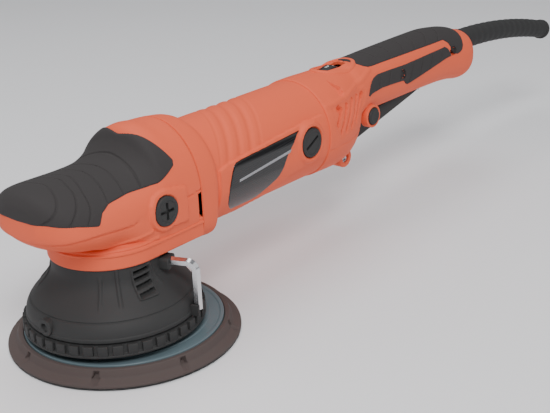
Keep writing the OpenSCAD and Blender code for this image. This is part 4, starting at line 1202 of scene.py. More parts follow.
@dataclass
class Pad(Assembly):
    """The foam pad with its hook face and its backing plate."""

    hole_r: float = 8.0
    hook_pitch: float = 1.75
    vents: int = 8
    vent_r: float = 2.3

    def build(self) -> None:
        """Builds and dresses the pad."""
        self.hook_face()
        self.foam()
        self.plate()

    def axis(self) -> Matrix:
        """The pad's own axis, upright."""
        return upright(-self.at.drive_x)

    def hook_face(self) -> None:
        """The cloth's ground and its hooks, which stand to the floor."""
        r = self.at.pad_r
        outline = fillet([(self.hole_r, 0.8), (r - 0.4, 0.8, 0.4), (r - 0.4, 2.0), (self.hole_r, 2.0)])
        ground = self.shop.lathe("hook_ground", outline, self.axis(), 200)
        self.fit(ground, "pad", "hook", Finishes.hooks, "hook_face")
        turn = math.pi * (3 - math.sqrt(5))
        count = int((r * r - self.hole_r ** 2) / (self.hook_pitch ** 2 / math.pi) / 1.6)
        inner = (self.hole_r + 1) ** 2
        outer = (r - 1.2) ** 2
        spots = []
        for i in range(count):
            far = math.sqrt(inner + (outer - inner) * (i + 0.5) / count)
            spots.append((far * math.cos(i * turn), far * math.sin(i * turn), 0.0))
        edge = int(2 * math.pi * r / 1.3)
        for row, far in enumerate((r - 0.75, r - 1.5)):
            for i in range(edge):
                a = 2 * math.pi * (i + 0.5 * row) / edge
                spots.append((far * math.cos(a), far * math.sin(a), 0.0))
        mesh = bpy.data.meshes.new("hook_spots")
        mesh.from_pydata([tuple(c * MM for c in s) for s in spots], [], [])
        hook = self.hook()
        made = Pattern(
            "hook_layout",
            Shape=("NodeSocketObject", hook),
            Finish=("NodeSocketMaterial", Finishes.hooks.material()),
            Seed=("NodeSocketInt", 7),
            Lean=("NodeSocketFloat", 0.16),
        )
        lean = made.given("Lean")
        turn_spot = made.node("ShaderNodeCombineXYZ", {}, {0: lean, 1: lean, 2: 2 * math.pi})
        flip = made.node("ShaderNodeVectorMath", {"operation": "MULTIPLY"},
                         {0: turn_spot, 1: (-1.0, -1.0, 0.0)})
        spin = made.node("FunctionNodeRandomValue", {"data_type": "FLOAT_VECTOR"},
                         {0: flip, 1: turn_spot, "Seed": made.given("Seed")})
        points = made.node("GeometryNodeMeshToPoints", {"mode": "VERTICES"},
                           {0: made.given("Ground")})
        made.finish(points, spin)
        laid = made.run("hooks", mesh)
        bpy.data.objects.remove(hook)
        laid.transform(Matrix.Translation((0, 0, 0.95 * MM)))
        self.fit(self.shop.wrap("hooks", laid), "pad", "hook", Finishes.hooks)

    def hook(self) -> bpy.types.Object:
        """One hook: a stem that hangs down and ends in a small cap.

        Returns:
            The hook in metres, from the origin down.
        """
        work = bmesh.new()
        rings = []
        for size, height in ((0.16, 0.0), (0.13, -0.55), (0.34, -0.72), (0.26, -0.93)):
            rings.append([work.verts.new((size * math.cos(a) * MM, size * math.sin(a) * MM,
                                          height * MM))
                          for a in (0, math.pi / 2, math.pi, 1.5 * math.pi)])
        for low, top in zip(rings[:-1], rings[1:]):
            for i in range(4):
                work.faces.new((low[i], low[(i + 1) % 4], top[(i + 1) % 4], top[i]))
        work.faces.new(rings[0])
        work.faces.new(rings[-1][::-1])
        mesh = bpy.data.meshes.new("hook")
        work.to_mesh(mesh)
        work.free()
        piece = bpy.data.objects.new("hook_shape", mesh)
        bpy.context.scene.collection.objects.link(piece)
        return piece

    def foam(self) -> None:
        """The foam with its waist, its air vents and its raised rim around the plate."""
        r, plate_r, low, top = self.at.pad_r, self.at.plate_r, 2.0, self.at.plate_z
        outline = fillet([
            (r, low), (r, low + 1.4, 0.8), (r - 5.4, low + 3.6, 2.6), (r - 7.4, top + 2.3, 0.9),
            (plate_r + 0.4, top + 2.4, 0.9), (plate_r + 0.1, top), (self.hole_r, top),
            (self.hole_r, low)], 8)
        turns = np.linspace(0, 2 * math.pi, 640, endpoint=False)
        ring = np.array(outline)
        far = np.repeat(ring[:, 0][:, None], len(turns), 1)
        high = np.repeat(ring[:, 1][:, None], len(turns), 1)
        depth = np.zeros_like(far)
        for i in range(self.vents):
            a = math.radians(32.5 + 360 * i / self.vents)
            arc = (np.mod(turns - a + math.pi, 2 * math.pi) - math.pi)[None, :] * far
            hit = 1 - ease(np.hypot(arc, high - low - 3.45), self.vent_r * 0.8, self.vent_r * 1.05)
            depth += np.where(far > r - 8, hit * 3.2, 0)
        for i in range(self.vents * 5):
            a = 2 * math.pi * (i + 0.35) / (self.vents * 5)
            arc = (np.mod(turns - a + math.pi, 2 * math.pi) - math.pi)[None, :] * far
            hit = 1 - ease(np.hypot(arc, high - low - 6.9), 0.3, 0.75)
            depth += np.where(far > r - 9, hit * 0.5, 0)
        far = far - depth
        grid = np.stack([far * np.cos(turns), far * np.sin(turns), high], axis=-1)
        grid[..., 0] -= self.at.drive_x
        # The vent dents and pin marks carry their depth, which the foam finish darkens as painted shade.
        piece = self.shop.tube("foam_body", grid, depth * 0.6, ends=False)
        self.fit(piece, "pad", "pad_foam", Finishes.foam, "pad_foam")

    def plate(self) -> None:
        """The backing plate: a stepped disc with a bead at its edge."""
        low, r = self.at.plate_z, self.at.plate_r
        top = low + 3.0
        outline = fillet([
            (self.hole_r, low + 0.02), (r, low + 0.02), (r, top, 0.7), (r - 2.2, top, 0.4),
            (r - 3.0, top - 0.7, 0.4), (r - 9, top - 0.7, 0.4), (r - 9.6, top, 0.4),
            (self.hole_r, top)], 5)
        disc = self.shop.lathe("plate_disc", outline, self.axis(), 256)
        self.fit(disc, "pad", "plate", Finishes.plate, "backing_plate")


@dataclass
class Shroud(Assembly):
    """The bell over the orbiting pad, its comb ring and the holder of the hex key."""

    notches: int = 40
    height: float = 38.8
    low_r: float = 54.8
    neck_r: float = 36.3
    wall: float = 2.4
    vent_turn: float = -101.0
    vent_z: float = 46.0
    key_turn: float = -68.0
    boss_rise: float = 6.5

    def build(self) -> None:
        """Builds and dresses the shroud."""
        self.bell()
        self.ring()

    def radius(self, rise: np.ndarray) -> np.ndarray:
        """The bell's radius at heights above its lower edge."""
        t = np.clip((rise - 4) / (self.height - 9), 0, 1)
        return self.neck_r + (self.low_r - self.neck_r) * (1 + np.cos(math.pi * t)) / 2

    def relief(self, degrees: np.ndarray, z: np.ndarray) -> np.ndarray:
        """Ribs, creases, the vent's frame and the seam of the bell.

        Args:
            degrees: Angles about the drive axis, from -180 to 180.
            z: Heights.

        Returns:
            Millimetres outwards.
        """
        r = self.radius(z - self.at.bell_z)
        key_side = -np.abs(degrees)
        move = line_cut(z - 35.5, 0.9, 0.7)
        move = move + raised(z - 27.0, 0.5, 1.0) * (z > self.at.bell_z + 1)
        arc = np.radians(key_side - self.vent_turn) * r
        frame_at = np.maximum(np.abs(arc) - 7.2, np.abs(z - self.vent_z - 6.5) - 9.5)
        move = move + raised(frame_at, 1.3, 0.9)
        for k in range(4):
            high = self.vent_z + 4.4 * k + arc * 0.12
            slot = np.maximum(np.abs(arc) - 5.2, np.abs(z - high) - 1.15)
            move = move - 3.6 * (1 - ease(slot, -0.35, 0.25))
        for high, low_turn, turn, top in ((65, -93, -83, 48), (67, -125, -125, 42),
                                          (60, -141, -141, 42)):
            t = np.clip((high - z) / (high - top), 0, 1)
            arc = np.radians(key_side - (low_turn + (turn - low_turn) * t)) * r
            inside = ease(z, top - 2, top + 2) * (1 - ease(z, high - 4, high))
            move = move + 0.9 * (1 - ease(np.abs(arc), 0.5, 1.6)) * inside
        return move

    def bell(self) -> None:
        """The bell itself, with the boss at its front and the sleeve of the key."""
        rows = np.concatenate([np.linspace(0, self.height, 130), [self.height + 3.8]])
        turns = np.linspace(-math.pi, math.pi, 540, endpoint=False)
        high = self.at.bell_z + rows[:, None]
        move = self.relief(np.degrees(turns)[None, :], high)
        start = round_edge(rows, 1.2)[:, None] - 1
        far = self.radius(rows)[:, None] + move + start * 0.9
        inner = np.linspace(self.height + 3.8, 0, 18)[:, None]
        back = np.repeat(self.radius(inner) - self.wall, len(turns), 1)
        full = np.concatenate([far, back])
        tall = np.concatenate([np.repeat(high, len(turns), 1),
                               np.repeat(self.at.bell_z + inner, len(turns), 1)])
        grid = np.stack([full * np.cos(turns), full * np.sin(turns), tall], axis=-1)
        # Vent slots and grooves carry their depth, which the finish darkens as painted shade.
        depth = np.concatenate([np.maximum(-move, 0), np.zeros_like(back)])
        piece = self.shop.tube("bell", grid, depth, ends=False)
        self.fit(piece, "housing", "black_plastic", Finishes.black, "shroud")
        self.boss()
        self.key_sleeve()

    def boss(self) -> None:
        """The boss of a screw at the bell's front, with its dark hole."""
        outline = fillet([(5.6, -3.0), (5.6, 1.2, 0.8), (2.9, 1.2, 0.5), (2.6, -1.5), (0, -1.5),
                          (0, -3.0)], 5)
        face = Matrix.Translation((-self.radius(np.array(self.boss_rise)) - 0.3, 0,
                                   self.at.bell_z + self.boss_rise))
        turned = face @ Matrix.Rotation(math.radians(-90), 4, "Y")
        piece = self.shop.lathe("bell_boss", outline, turned, 48)
        self.fit(piece, "housing", "black_plastic", Finishes.black)

    def key_sleeve(self) -> None:
        """The sleeve that takes the short arm of the hex key."""
        outline = fillet([(-5.5, -4.6, 1.6), (5.5, -4.6, 1.6), (5.5, 3.4, 2.4), (-5.5, 3.4, 2.4)])
        z = self.at.head_z - 4.4
        spin = Matrix.Rotation(math.radians(self.key_turn), 4, "Z")
        stand = Matrix.Rotation(math.radians(90), 4, "Y") @ Matrix.Rotation(math.radians(90), 4, "Z")
        place = Matrix.Translation((0, 0, z)) @ spin @ stand
        piece = self.shop.slab("key_sleeve", outline, self.neck_r - 2.0, self.neck_r + 6.0, place,
                               0.7)
        hole = polygon(6, 3.2)
        self.shop.carve(piece, self.shop.slab("key_hole", hole, self.neck_r - 6,
                                              self.neck_r + 12, place, 0))
        self.fit(piece, "housing", "black_plastic", Finishes.black)

    def ring(self) -> None:
        """The comb ring: a plain core with rounded teeth all round."""
        low, high, r = self.at.ring_z, self.at.bell_z, self.at.ring_r
        outline = fillet([(r - 9, low + 1), (r - 0.2, low, 0.8), (r, low + 1.7, 0.6),
                          (r - 1.9, low + 2.4, 0.5), (r - 2.3, high), (r - 9, high)], 5)
        core = self.shop.lathe("ring_core", outline, upright(0), 240)
        self.fit(core, "housing", "black_plastic", Finishes.black, "shroud_ring")
        pitch = 2 * math.pi * (r - 2) / self.notches
        half = (pitch - 2.6) / 2
        tooth_outline = fillet([(-1.2, -half), (1.9, -half, 0.6), (1.9, half, 0.6), (-1.2, half)])
        tooth = self.shop.slab("tooth", tooth_outline, low + 1.6, high - 0.1,
                               upright(-self.at.drive_x), 0.45)
        teeth = ring_pattern(self.shop, "ring_teeth", tooth, Finishes.black, self.notches,
                             r - 2.1, 180 / self.notches, upright(0))
        self.fit(teeth, "housing", "black_plastic", Finishes.black)


@dataclass
class Head(Assembly):
    """The moulded head over the gears, with the soft front grip."""

    wall: float = 2.3
    cap: tuple[float, float] = (14.0, 9.4)
    nose: float = -65.3
    grip_end: float = 30.5
    opening_r: float = 35.2
    skirt_r: float = 37.7
    stations: list[Station] = field(default_factory=lambda: [
        Station(-65.3, 0.01, 7, 0.01, 0.01), Station(-64.9, 14, 7, 11, 6.5, 2.2, 2.2),
        Station(-63, 21, 6.7, 15.6, 10, 2.2, 2.2), Station(-59, 28, 6, 19.8, 13.2, 2.2, 2.2),
        Station(-52, 34, 5, 21.6, 16, 2.3, 2.2), Station(-43, 36.8, 4, 22.4, 18.5, 2.3, 2.2),
        Station(-32, 38, 3, 22.9, 20.5, 2.3, 2.2), Station(-20, 38.6, 2.5, 23.0, 22.5, 2.3, 2.2),
        Station(-8, 39, 2, 23.6, 24.5, 2.9, 2.2), Station(1, 39, 1.5, 25.2, 26, 3.6, 2.2),
        Station(8, 39, 1, 29.2, 27, 4.2, 2.15), Station(14, 39, 0.5, 36.2, 27.5, 4.6, 2.1),
        Station(17.5, 39, 0.5, 42, 27.7, 4.7, 2.1), Station(21.5, 39, 0, 45.2, 28, 4.8, 2.05),
        Station(27, 39, 0, 45.8, 28.2, 4.8, 2.05), Station(35, 38.8, 0, 44.8, 28.5, 4.8, 2.05),
        Station(46, 38.5, 0, 44, 29, 5, 2.05), Station(47, 37.8, 0, 43.1, 28.6, 5, 2.05)])
    grooves: tuple[tuple[float, float], ...] = (
        (8.4, 6.5), (-3.7, 7.5), (-14.5, 10.5), (-25, 19), (-32, 22), (-44, 20))

    def build(self) -> None:
        """Builds and dresses the head."""
        self.loft = Loft(self.stations, self.at.axis_z, pole=True)
        self.body()
        self.skirt()
        self.grip()
        for side in (LEFT, RIGHT):
            self.side_cap(side)

    def relief(self, points: np.ndarray) -> np.ndarray:
        """Cap bosses, ribs, slots and parting lines of the head.

        Args:
            points: Points of the skin.

        Returns:
            Millimetres outwards.
        """
        x, y, z = points[..., 0], np.abs(points[..., 1]), points[..., 2] - self.at.axis_z
        flank = ease(y, 22, 27)
        boss = [(6, 11.7), (16, 13.9), (33, 10.6), (33.6, 9), (33.6, -12), (31, -13.2), (14, -12),
                (4, -7.5), (0.6, 0), (1.6, 6.5)]
        cap_x = self.cap[0]
        ring = np.minimum(to_outline(x, z, boss), np.hypot(x - cap_x, z) - 13.5)
        move = raised(ring, 1.9, 1.7) * flank
        move = move - 1.6 * (1 - ease(np.hypot(x - cap_x, z) - self.cap[1], -0.3, 0.5)) * flank
        for rib in ([(-30, -15.2), (-12, -12.4), (3, -9.6)], [(-32, -19), (-11, -16.5), (8, -15.5)]):
            move = move + 0.9 * (1 - ease(to_line(x, z, rib), 0.4, 1.5)) * flank
        slot = np.maximum(np.abs(x - 46) - 2.2, np.abs(z + 9.5) - 10.5)
        move = move - 2.2 * (1 - ease(slot, -0.4, 0.3)) * flank
        lip = np.interp(x, [-66, -51, -39, -11, -2], [-0.8, 1.5, 1.8, -0.4, 2.4])
        nose = 1 - ease(x, -14, 0)
        below = 1 - ease(z - lip, -0.9, 0.3)
        move = move - nose * below * (1.0 + 0.5 * (1 - ease(np.abs(z - lip + 1.2), 0.2, 1.2)))
        parting = to_line(x, z, [(33.5, 1.5), (45, 3.0), (48, 3.8)])
        return move - 0.8 * (1 - ease(parting, 0.2, 0.7)) * flank

    def body(self) -> None:
        """The head's shell, open below for the gear case."""
        x = np.concatenate([np.linspace(-62, 45.9, 200), [46.4, 47.0]])
        shares = np.concatenate([np.linspace(0, self.loft.share_at(-62.5), 26),
                                 self.loft.share_at(x)])
        piece = self.shell("head_body", self.loft, shares, 300, self.relief, self.wall)
        self.shop.carve(piece, self.shop.slab(
            "opening", polygon(72, self.opening_r), self.at.head_z - 5, self.at.head_z + 14,
            upright(0), 0))
        self.fit(piece, "housing", "orange_shell", Finishes.orange, "head_shell")

    def skirt(self) -> None:
        """The skirt between the head and the bell, round in front and straight behind."""
        r = self.skirt_r
        arc = [(r * math.cos(math.radians(a)), r * math.sin(math.radians(a)))
               for a in np.linspace(90, 270, 121)]
        runs = [(s, r) for s in np.linspace(self.at.seam_x - 0.2, 1, 30)]
        back = [(s, -r) for s in np.linspace(1, self.at.seam_x - 0.2, 30)]
        line = np.array(runs + arc + back)
        out = np.array([(0.0, 1.0)] * 30 + [(a / r, b / r) for a, b in arc] + [(0.0, -1.0)] * 30)
        rise = np.linspace(1.0, 18.5, 60)
        swell = (round_edge(rise - 1, 1.4) - 1) * 1.0 - 5.0 * ease(rise, 11.5, 18.5)
        for rib, grow in ((10.6, 0.9), (13.4, 0.8)):
            swell = swell + grow * (1 - ease(np.abs(rise - rib), 0.4, 1.2))
        spots = line[None, :, :] + out[None, :, :] * swell[:, None, None]
        high = np.repeat((self.at.head_z + rise)[:, None], len(line), 1)
        top = np.concatenate([spots, high[..., None]], axis=-1)
        inner = np.repeat(line[None] - out[None] * 2.6, len(rise), 0)
        inner = inner + out[None] * np.minimum(swell + 1, 0)[:, None, None]
        low = np.concatenate([inner, high[..., None]], axis=-1)
        depth = np.zeros(high.shape)
        piece = self.shop.sheet("head_skirt", top, low, depth)
        self.fit(piece, "housing", "orange_shell", Finishes.orange)

    def grip(self) -> None:
        """The soft grip over the nose, with its six grooves."""
        edge_x = [-66, -62, -58, -49.5, -38.6, -36.4, -35, -33, -31, -24, -8, 3, 14, 22.5, 29, 30.5]
        edge_z = [11.4, 12, 11, 9.8, 7.0, 6.6, 7.4, 10.4, 12.6, 15.4, 16.6, 16.4, 16.8, 20.2, 23.4, 26.5]
        s = np.concatenate([np.linspace(0, 0.12, 34)[:-1], np.linspace(0.12, 1, 190)])[:, None]
        v = np.linspace(0, 1, 190)[None, :]
        w = np.abs(2 * v - 1)
        end = 16.8 + 13.7 * w ** 1.45
        x = self.nose + 0.05 + s * (end - self.nose)
        x_edge = self.nose + 0.05 + s * (self.grip_end - self.nose)
        share = self.loft.share_at(x_edge)
        low = self.loft.turn_at(share, self.at.axis_z + np.interp(x_edge, edge_x, edge_z))
        low = np.maximum(low, math.radians(-86))
        turn = low * (1 - v) + (math.pi - low) * v
        points = self.loft.points(self.loft.share_at(x), turn)
        cut = np.zeros(x.shape)
        for at, bow in self.grooves:
            cut = cut + line_cut(x - (at - bow * w ** 1.25), 1.3, 0.62)
        piece = self.clad("nose_grip", points, cut, 0.75, 0.9, 1.5)
        self.fit(piece, "housing", "grip_rubber", Finishes.rubber, "front_grip")

    def side_cap(self, side: int) -> None:
        """The cap of a screw hole for the side handle."""
        cap_x, r = self.cap
        outline = fillet([(0, -5), (r, -5), (r, 0.4, 0.9), (r - 2.2, 0.9, 0.5), (r - 2.9, 0.3, 0.4),
                          (0, 0.45)], 5)
        place = sideways(cap_x, side * 40.9, self.at.axis_z, side)
        piece = self.shop.lathe(f"side_cap_{hand(side)[0]}", outline, place, 96)
        bar = strip(-5.6, 5.6, 1.05, 0.5)
        cuts = []
        for turn in (0, 90):
            spin = place @ Matrix.Rotation(math.radians(turn), 4, "Z")
            cuts.append(self.shop.slab("bar", bar, -1.4, 4, spin, 0))
        self.shop.carve(piece, *cuts)
        self.fit(piece, "housing", "black_plastic", Finishes.black, f"side_cap_{hand(side)}")


@dataclass
class Motor(Assembly):
    """The motor's tube with its flange, its side plates and its brush caps."""

    tube_r: float = 35.0
    panel_r: float = 36.8
    panel_y: float = 36.2
    brush_x: float = 160.0
    brush_z: float = 1.8
    brush_r: float = 10.6
    stations: list[Station] = field(default_factory=lambda: [
        Station(47.25, 37.6, 0, 42.9, 33, 5, 2.05), Station(47.9, 38.5, 0, 43.9, 33.8, 5.2, 2.05),
        Station(56, 38.5, 0, 42.4, 34.6, 5.2, 2.05), Station(60.2, 38.3, 0, 40.4, 35, 5, 2.05),
        Station(62.4, 37.6, 0, 38.6, 35.2, 4.2, 2.0), Station(63.8, 36.2, 0, 36.8, 35.6, 2.9, 2.0),
        Station(65.4, 35.2, 0, 35.4, 36, 2.1),
        Station(68, 35, 0, 35, 36.2), Station(74, 35, 0, 35, 36.4), Station(120, 35, 0, 35, 36.4),
        Station(183, 35, 0, 35, 36.4)])
    badge_left: tuple[tuple[float, float], ...] = (
        (-26, 89.5), (-25.4, 86), (-24, 82), (-21, 78.4), (-17, 75.6), (-12, 74.4), (-6, 74.6),
        (4.6, 78.2), (8.4, 80.4), (9.7, 83), (10.4, 92), (13.2, 148.5))
    badge_right: tuple[tuple[float, float], ...] = (
        (-26, 91), (-23.2, 108), (-14.6, 124), (-12.6, 126.4), (0.7, 135), (11.6, 146.6),
        (12.7, 149), (13.2, 149.6))

    def build(self) -> None:
        """Builds and dresses the motor's outside."""
        self.loft = Loft(self.stations, self.at.axis_z)
        self.body()
        for side in (LEFT, RIGHT):
            self.badge(side)
            self.brush_cap(side)

    def shape(self, points: np.ndarray) -> tuple[np.ndarray, np.ndarray]:
        """Moves the plain tube's points to the moulded shape.

        Args:
            points: Points of the plain tube.

        Returns:
            The moved points and how deep each lies in a recess, which the finish darkens as painted shade.
        """
        x, y, z = points[..., 0], points[..., 1], points[..., 2] - self.at.axis_z
        around = np.degrees(np.arctan2(-y, z))
        radius = np.hypot(y, z)
        wave = (x + 0.3 * around - 89.5) / 11
        valley = 0.5 - 0.5 * np.cos(2 * math.pi * wave)
        zone = ease(wave, 0.0, 0.35) * (1 - ease(wave, 3.6, 4.1))
        zone = zone * (1 - ease(np.abs(around), 62, 84))
        move = -0.85 * (1 - valley) ** 1.6 * zone
        panel = [(66.5, 8.6), (75.5, 10.6), (122, 14.2), (148, 15.8), (179, 17), (179, -14),
                 (146, -16), (130, -20), (116, -26.5), (90, -29.5), (70, -28), (66.5, -24)]
        inside = raised(to_outline(x, z, panel), 1.0, 1.1) * (np.abs(y) > 10)
        grow = (radius + move + (self.panel_r - self.tube_r) * inside) / radius
        side_y, high = y * grow, z * grow
        boss = 1 - ease(np.hypot(x - self.brush_x, z - self.brush_z), 13.2, 15.2)
        wide = np.abs(side_y)
        wide = np.where(inside > 0.01, np.minimum(wide, self.panel_y), wide)
        face = self.tube_r + 2.3
        wide = wide + boss * (face - wide) * (np.abs(y) > 10)
        rim = np.abs(np.hypot(x - self.brush_x, z - self.brush_z) - 12.0)
        wide = wide + 0.35 * (1 - ease(rim, 0.3, 1.1)) * (np.abs(y) > 10)
        hole = 1 - ease(np.hypot(x - self.brush_x, z - self.brush_z), self.brush_r - 0.1, self.brush_r + 0.4)
        wide = wide - 1.9 * hole * (np.abs(y) > 10)
        slant = np.where(z > 0, 0.075, 0.03) * z
        weight = ease(x, 50, 60) * (1 - ease(x, 66, 76))
        moved = np.stack([x + slant * weight, np.sign(y) * wide, high + self.at.axis_z], axis=-1)
        # The hole around the brush cap gets 1.2 so that the finish darkens it: painted shade.
        return moved, np.maximum(-move * 0.6, hole * 1.2)

    def body(self) -> None:
        """The tube with its flange, ripples, side panels and brush bosses."""
        loft = self.loft
        x = np.concatenate([[47.25, 47.7], np.linspace(48.2, 182.2, 288), [182.6, 183.0]])
        turn = np.linspace(-math.pi / 2, 1.5 * math.pi, 272, endpoint=False)[None, :]
        share = loft.share_at(x)[:, None]
        outer, depth = self.shape(loft.points(share, turn))
        back = loft.share_at(np.linspace(183, 47.25, 20))[:, None]
        inner, out = loft.frame(back, turn)
        grid = np.concatenate([outer, inner - out * 2.6])
        hollow = np.concatenate([depth, np.zeros(inner.shape[:2])])
        piece = self.shop.tube("motor_body", grid, hollow, ends=False)
        self.fit(piece, "housing", "orange_shell", Finishes.orange, "motor_housing")

    def badge(self, side: int) -> None:
        """A glossy name plate without a name, which follows the side panel."""
        high = np.concatenate([np.linspace(-26, -20, 20)[:-1], np.linspace(-20, 9, 60)[:-1],
                               np.linspace(9, 13.2, 26)])
        left = np.interp(high, *zip(*self.badge_left))
        right = np.interp(high, *zip(*self.badge_right))
        v = np.linspace(0, 1, 110)[None, :]
        x = left[:, None] * (1 - v) + right[:, None] * v
        tall = np.repeat(high[:, None], v.size, 1)
        wide = np.minimum(self.panel_y, np.sqrt(self.panel_r ** 2 - tall ** 2)) - 0.25
        points = np.stack([x, side * wide, tall + self.at.axis_z], axis=-1)
        name = f"side_plate_{hand(side)[0]}"
        piece = self.clad(name, points, np.zeros(x.shape), 0.75, 0.3, 0.8)
        self.fit(piece, "housing", "badge", Finishes.badge, f"badge_{hand(side)}")
        self.band(side)

    def band(self, side: int) -> None:
        """A plain raised band across the name plate."""
        near, far = np.array([[84.0, -4.0], [136.5, 1.2]]), np.array([[84.4, -2.2], [138.0, 3.4]])
        v = np.linspace(0, 1, 90)[None, :, None]
        s = np.linspace(0, 1, 14)[:, None, None]
        low = near[0] * (1 - v) + near[1] * v
        top = far[0] * (1 - v) + far[1] * v
        flat = low * (1 - s) + top * s
        wide = np.minimum(self.panel_y, np.sqrt(self.panel_r ** 2 - flat[..., 1] ** 2)) + 0.5
        points = np.stack([flat[..., 0], side * wide, flat[..., 1] + self.at.axis_z], axis=-1)
        name = f"plate_band_{hand(side)[0]}"
        piece = self.clad(name, points, np.zeros(wide.shape), 0.25, 0.3, 0.5)
        self.fit(piece, "housing", "badge", Finishes.silver)

    def brush_cap(self, side: int) -> None:
        """A screw cap over a carbon brush, with a bar slot."""
        r = self.brush_r
        outline = fillet([(0, -2.4), (r - 0.2, -2.4), (r - 0.2, 0.3, 0.8), (r - 1.8, 0.8, 0.5),
                          (r - 2.6, 0.1, 0.4), (0, 0.3)], 5)
        place = sideways(self.brush_x, side * 37.3, self.at.axis_z + self.brush_z, side)
        piece = self.shop.lathe(f"brush_cap_{hand(side)[0]}", outline, place, 96)
        spin = place @ Matrix.Rotation(math.radians(28), 4, "Z")
        bar = strip(-7.2, 7.2, 1.1, 0.6)
        self.shop.carve(piece, self.shop.slab("bar", bar, -1.4, 4, spin, 0))
        self.fit(piece, "housing", "black_plastic", Finishes.black, f"brush_cap_{hand(side)}")


@dataclass
class Handle(Assembly):
    """The rear housing and the rear handle, in two halves, with their soft grips."""

    wall: float = 2.2
    centre: float = 13.5
    lock: tuple[float, float, float] = (252.0, -5.0, 6.6)
    screws: tuple[tuple[float, float], ...] = ((296.0, 17.5), (372.0, 20.0))
    lug_at: tuple[float, float] = (223.6, -31.4)
    dial_at: tuple[float, float] = (229.0, 19.4)
    slot: tuple[float, float, float] = (236.2, 340.0, 10.9)
    window: tuple[float, float, float] = (213.5, 244.5, 4.7)
    scoop: tuple[tuple[float, float], ...] = (
        (205.6, 32.5), (208.9, 30.4), (212.6, 26.6), (212.2, 23.4), (208.4, 21.7), (205.6, 23.5))
    vent_field: tuple[tuple[float, float], ...] = (
        (190.5, 18.2), (243.8, 19.8), (240.5, 11.0), (222.6, -3.2), (196.0, -5.0), (190.5, 2))
    vents: tuple[tuple[float, float, float, float], ...] = (
        (193.6, 5.4, 201.4, 15.0), (197.6, -1.2, 210.6, 15.6), (204.8, -2.0, 220.0, 16.8),
        (213.4, -1.8, 229.4, 16.8), (222.6, 0.4, 237.4, 16.8), (197.0, 15.4, 199.0, 16.6))
    stations: list[Station] = field(default_factory=lambda: [
        Station(183.1, 34.6, 0, 34.6, 35.8), Station(183.5, 35.7, 0, 35.7, 36.9),
        Station(184.6, 36.1, 0, 36.1, 37.3), Station(195, 35.8, 0, 36, 37.4, 2.05, 2.05),
        Station(207, 34, 0, 35.6, 37.6, 2.15, 2.15), Station(219, 31.2, 1, 34.3, 37.8, 2.25, 2.25),
        Station(228, 28.1, 2, 33.1, 36.6, 2.3, 2.3), Station(233, 26.5, 3, 32, 32.6, 2.3, 2.3),
        Station(236, 25.5, 6, 29, 17, 2.3, 2.3), Station(243, 24.5, 11, 25, 18, 2.3, 2.3),
        Station(258, 22.5, 13.5, 22.5, 20, 2.35, 2.35),
        Station(280.5, 21.5, 13.5, 23.2, 20, 2.4, 2.4), Station(318, 21.5, 13.5, 24.0, 20, 2.4, 2.4),
        Station(355.5, 21.5, 13.5, 24.4, 20.5, 2.4, 2.4), Station(381, 22, 12, 23.6, 21, 2.3, 2.3),
        Station(396, 22.5, 11, 21.4, 22.5, 2.3, 2.3), Station(404, 21.5, 10.5, 19.6, 21, 2.3, 2.3),
        Station(407.4, 18.8, 11.2, 18, 19, 2.3, 2.3), Station(409, 15, 13, 14, 15.5, 2.2, 2.2),
        Station(409.6, 8.4, 18.1, 8.4, 8.4)])
    top_grooves: tuple[tuple[float, float], ...] = (
        (272.7, 1.2), (292, 5), (312, 9), (328, 10), (348.6, 16.6), (366, 15))
    side_grooves: tuple[tuple[float, float, float, float], ...] = (
        (260.2, 12, 267.7, 25.5), (274.4, 13, 281, 25.7), (290, 11.5, 297.3, 25),
        (304.6, 10, 312.7, 24), (319, 11.5, 326.8, 25), (333.7, 13, 342, 26), (348.6, 14, 356.4, 26))

    def build(self) -> None:
        """Builds and dresses the handle."""
        self.loft = Loft(self.stations, self.at.axis_z)
        for side in (LEFT, RIGHT):
            self.half(side)
            self.side_grip(side)
        self.top_grip()
        self.bezel()
        self.dial()
        self.lock_collar()
        self.lug()
        self.paddle()

    def relief(self, points: np.ndarray) -> np.ndarray:
        """Vents, scoops, edges and screw holes of the halves.

        Args:
            points: Points of the skin.

        Returns:
            Millimetres outwards.
        """
        x, side_y, z = points[..., 0], points[..., 1], points[..., 2] - self.at.axis_z
        y = np.abs(side_y)
        move = -0.5 * (1 - ease(y, 0.1, 0.55))
        flank = ease(y, 9, 13)
        inside = 1 - ease(to_outline(x, z, self.scoop), -0.7, 0.3)
        move = move - (2.3 + 1.6 * (1 - ease(x, 205, 211))) * inside * flank
        crest = to_line(x, z, [(186, 20.1), (212, 20.6), (239, 25), (256, 29.5)])
        move = move + 0.7 * (1 - ease(crest, 0.3, 2.4)) * flank
        low = to_line(x, z, [(184, -11.7), (222, -11.7), (234, -9)])
        move = move - 0.45 * (1 - ease(low, 0.2, 0.8)) * flank
        frame_at = to_outline(x, z, self.vent_field)
        move = move - 0.5 * (1 - ease(frame_at, -0.5, 0.4)) * flank
        for a, b, c, d in self.vents:
            slot = to_line(x, z, [(a, b), (c, d)])
            move = move - 3.6 * (1 - ease(slot, 1.2, 1.7)) * flank
        for at, high in self.screws:
            move = move - 5.0 * (1 - ease(np.hypot(x - at, z - high), 3.1, 3.7)) * flank
        at, high, r = self.lock
        ring = np.hypot(x - at, z - high)
        return move - 2.4 * (1 - ease(ring, r + 0.2, r + 0.7)) * flank * (side_y < 0)

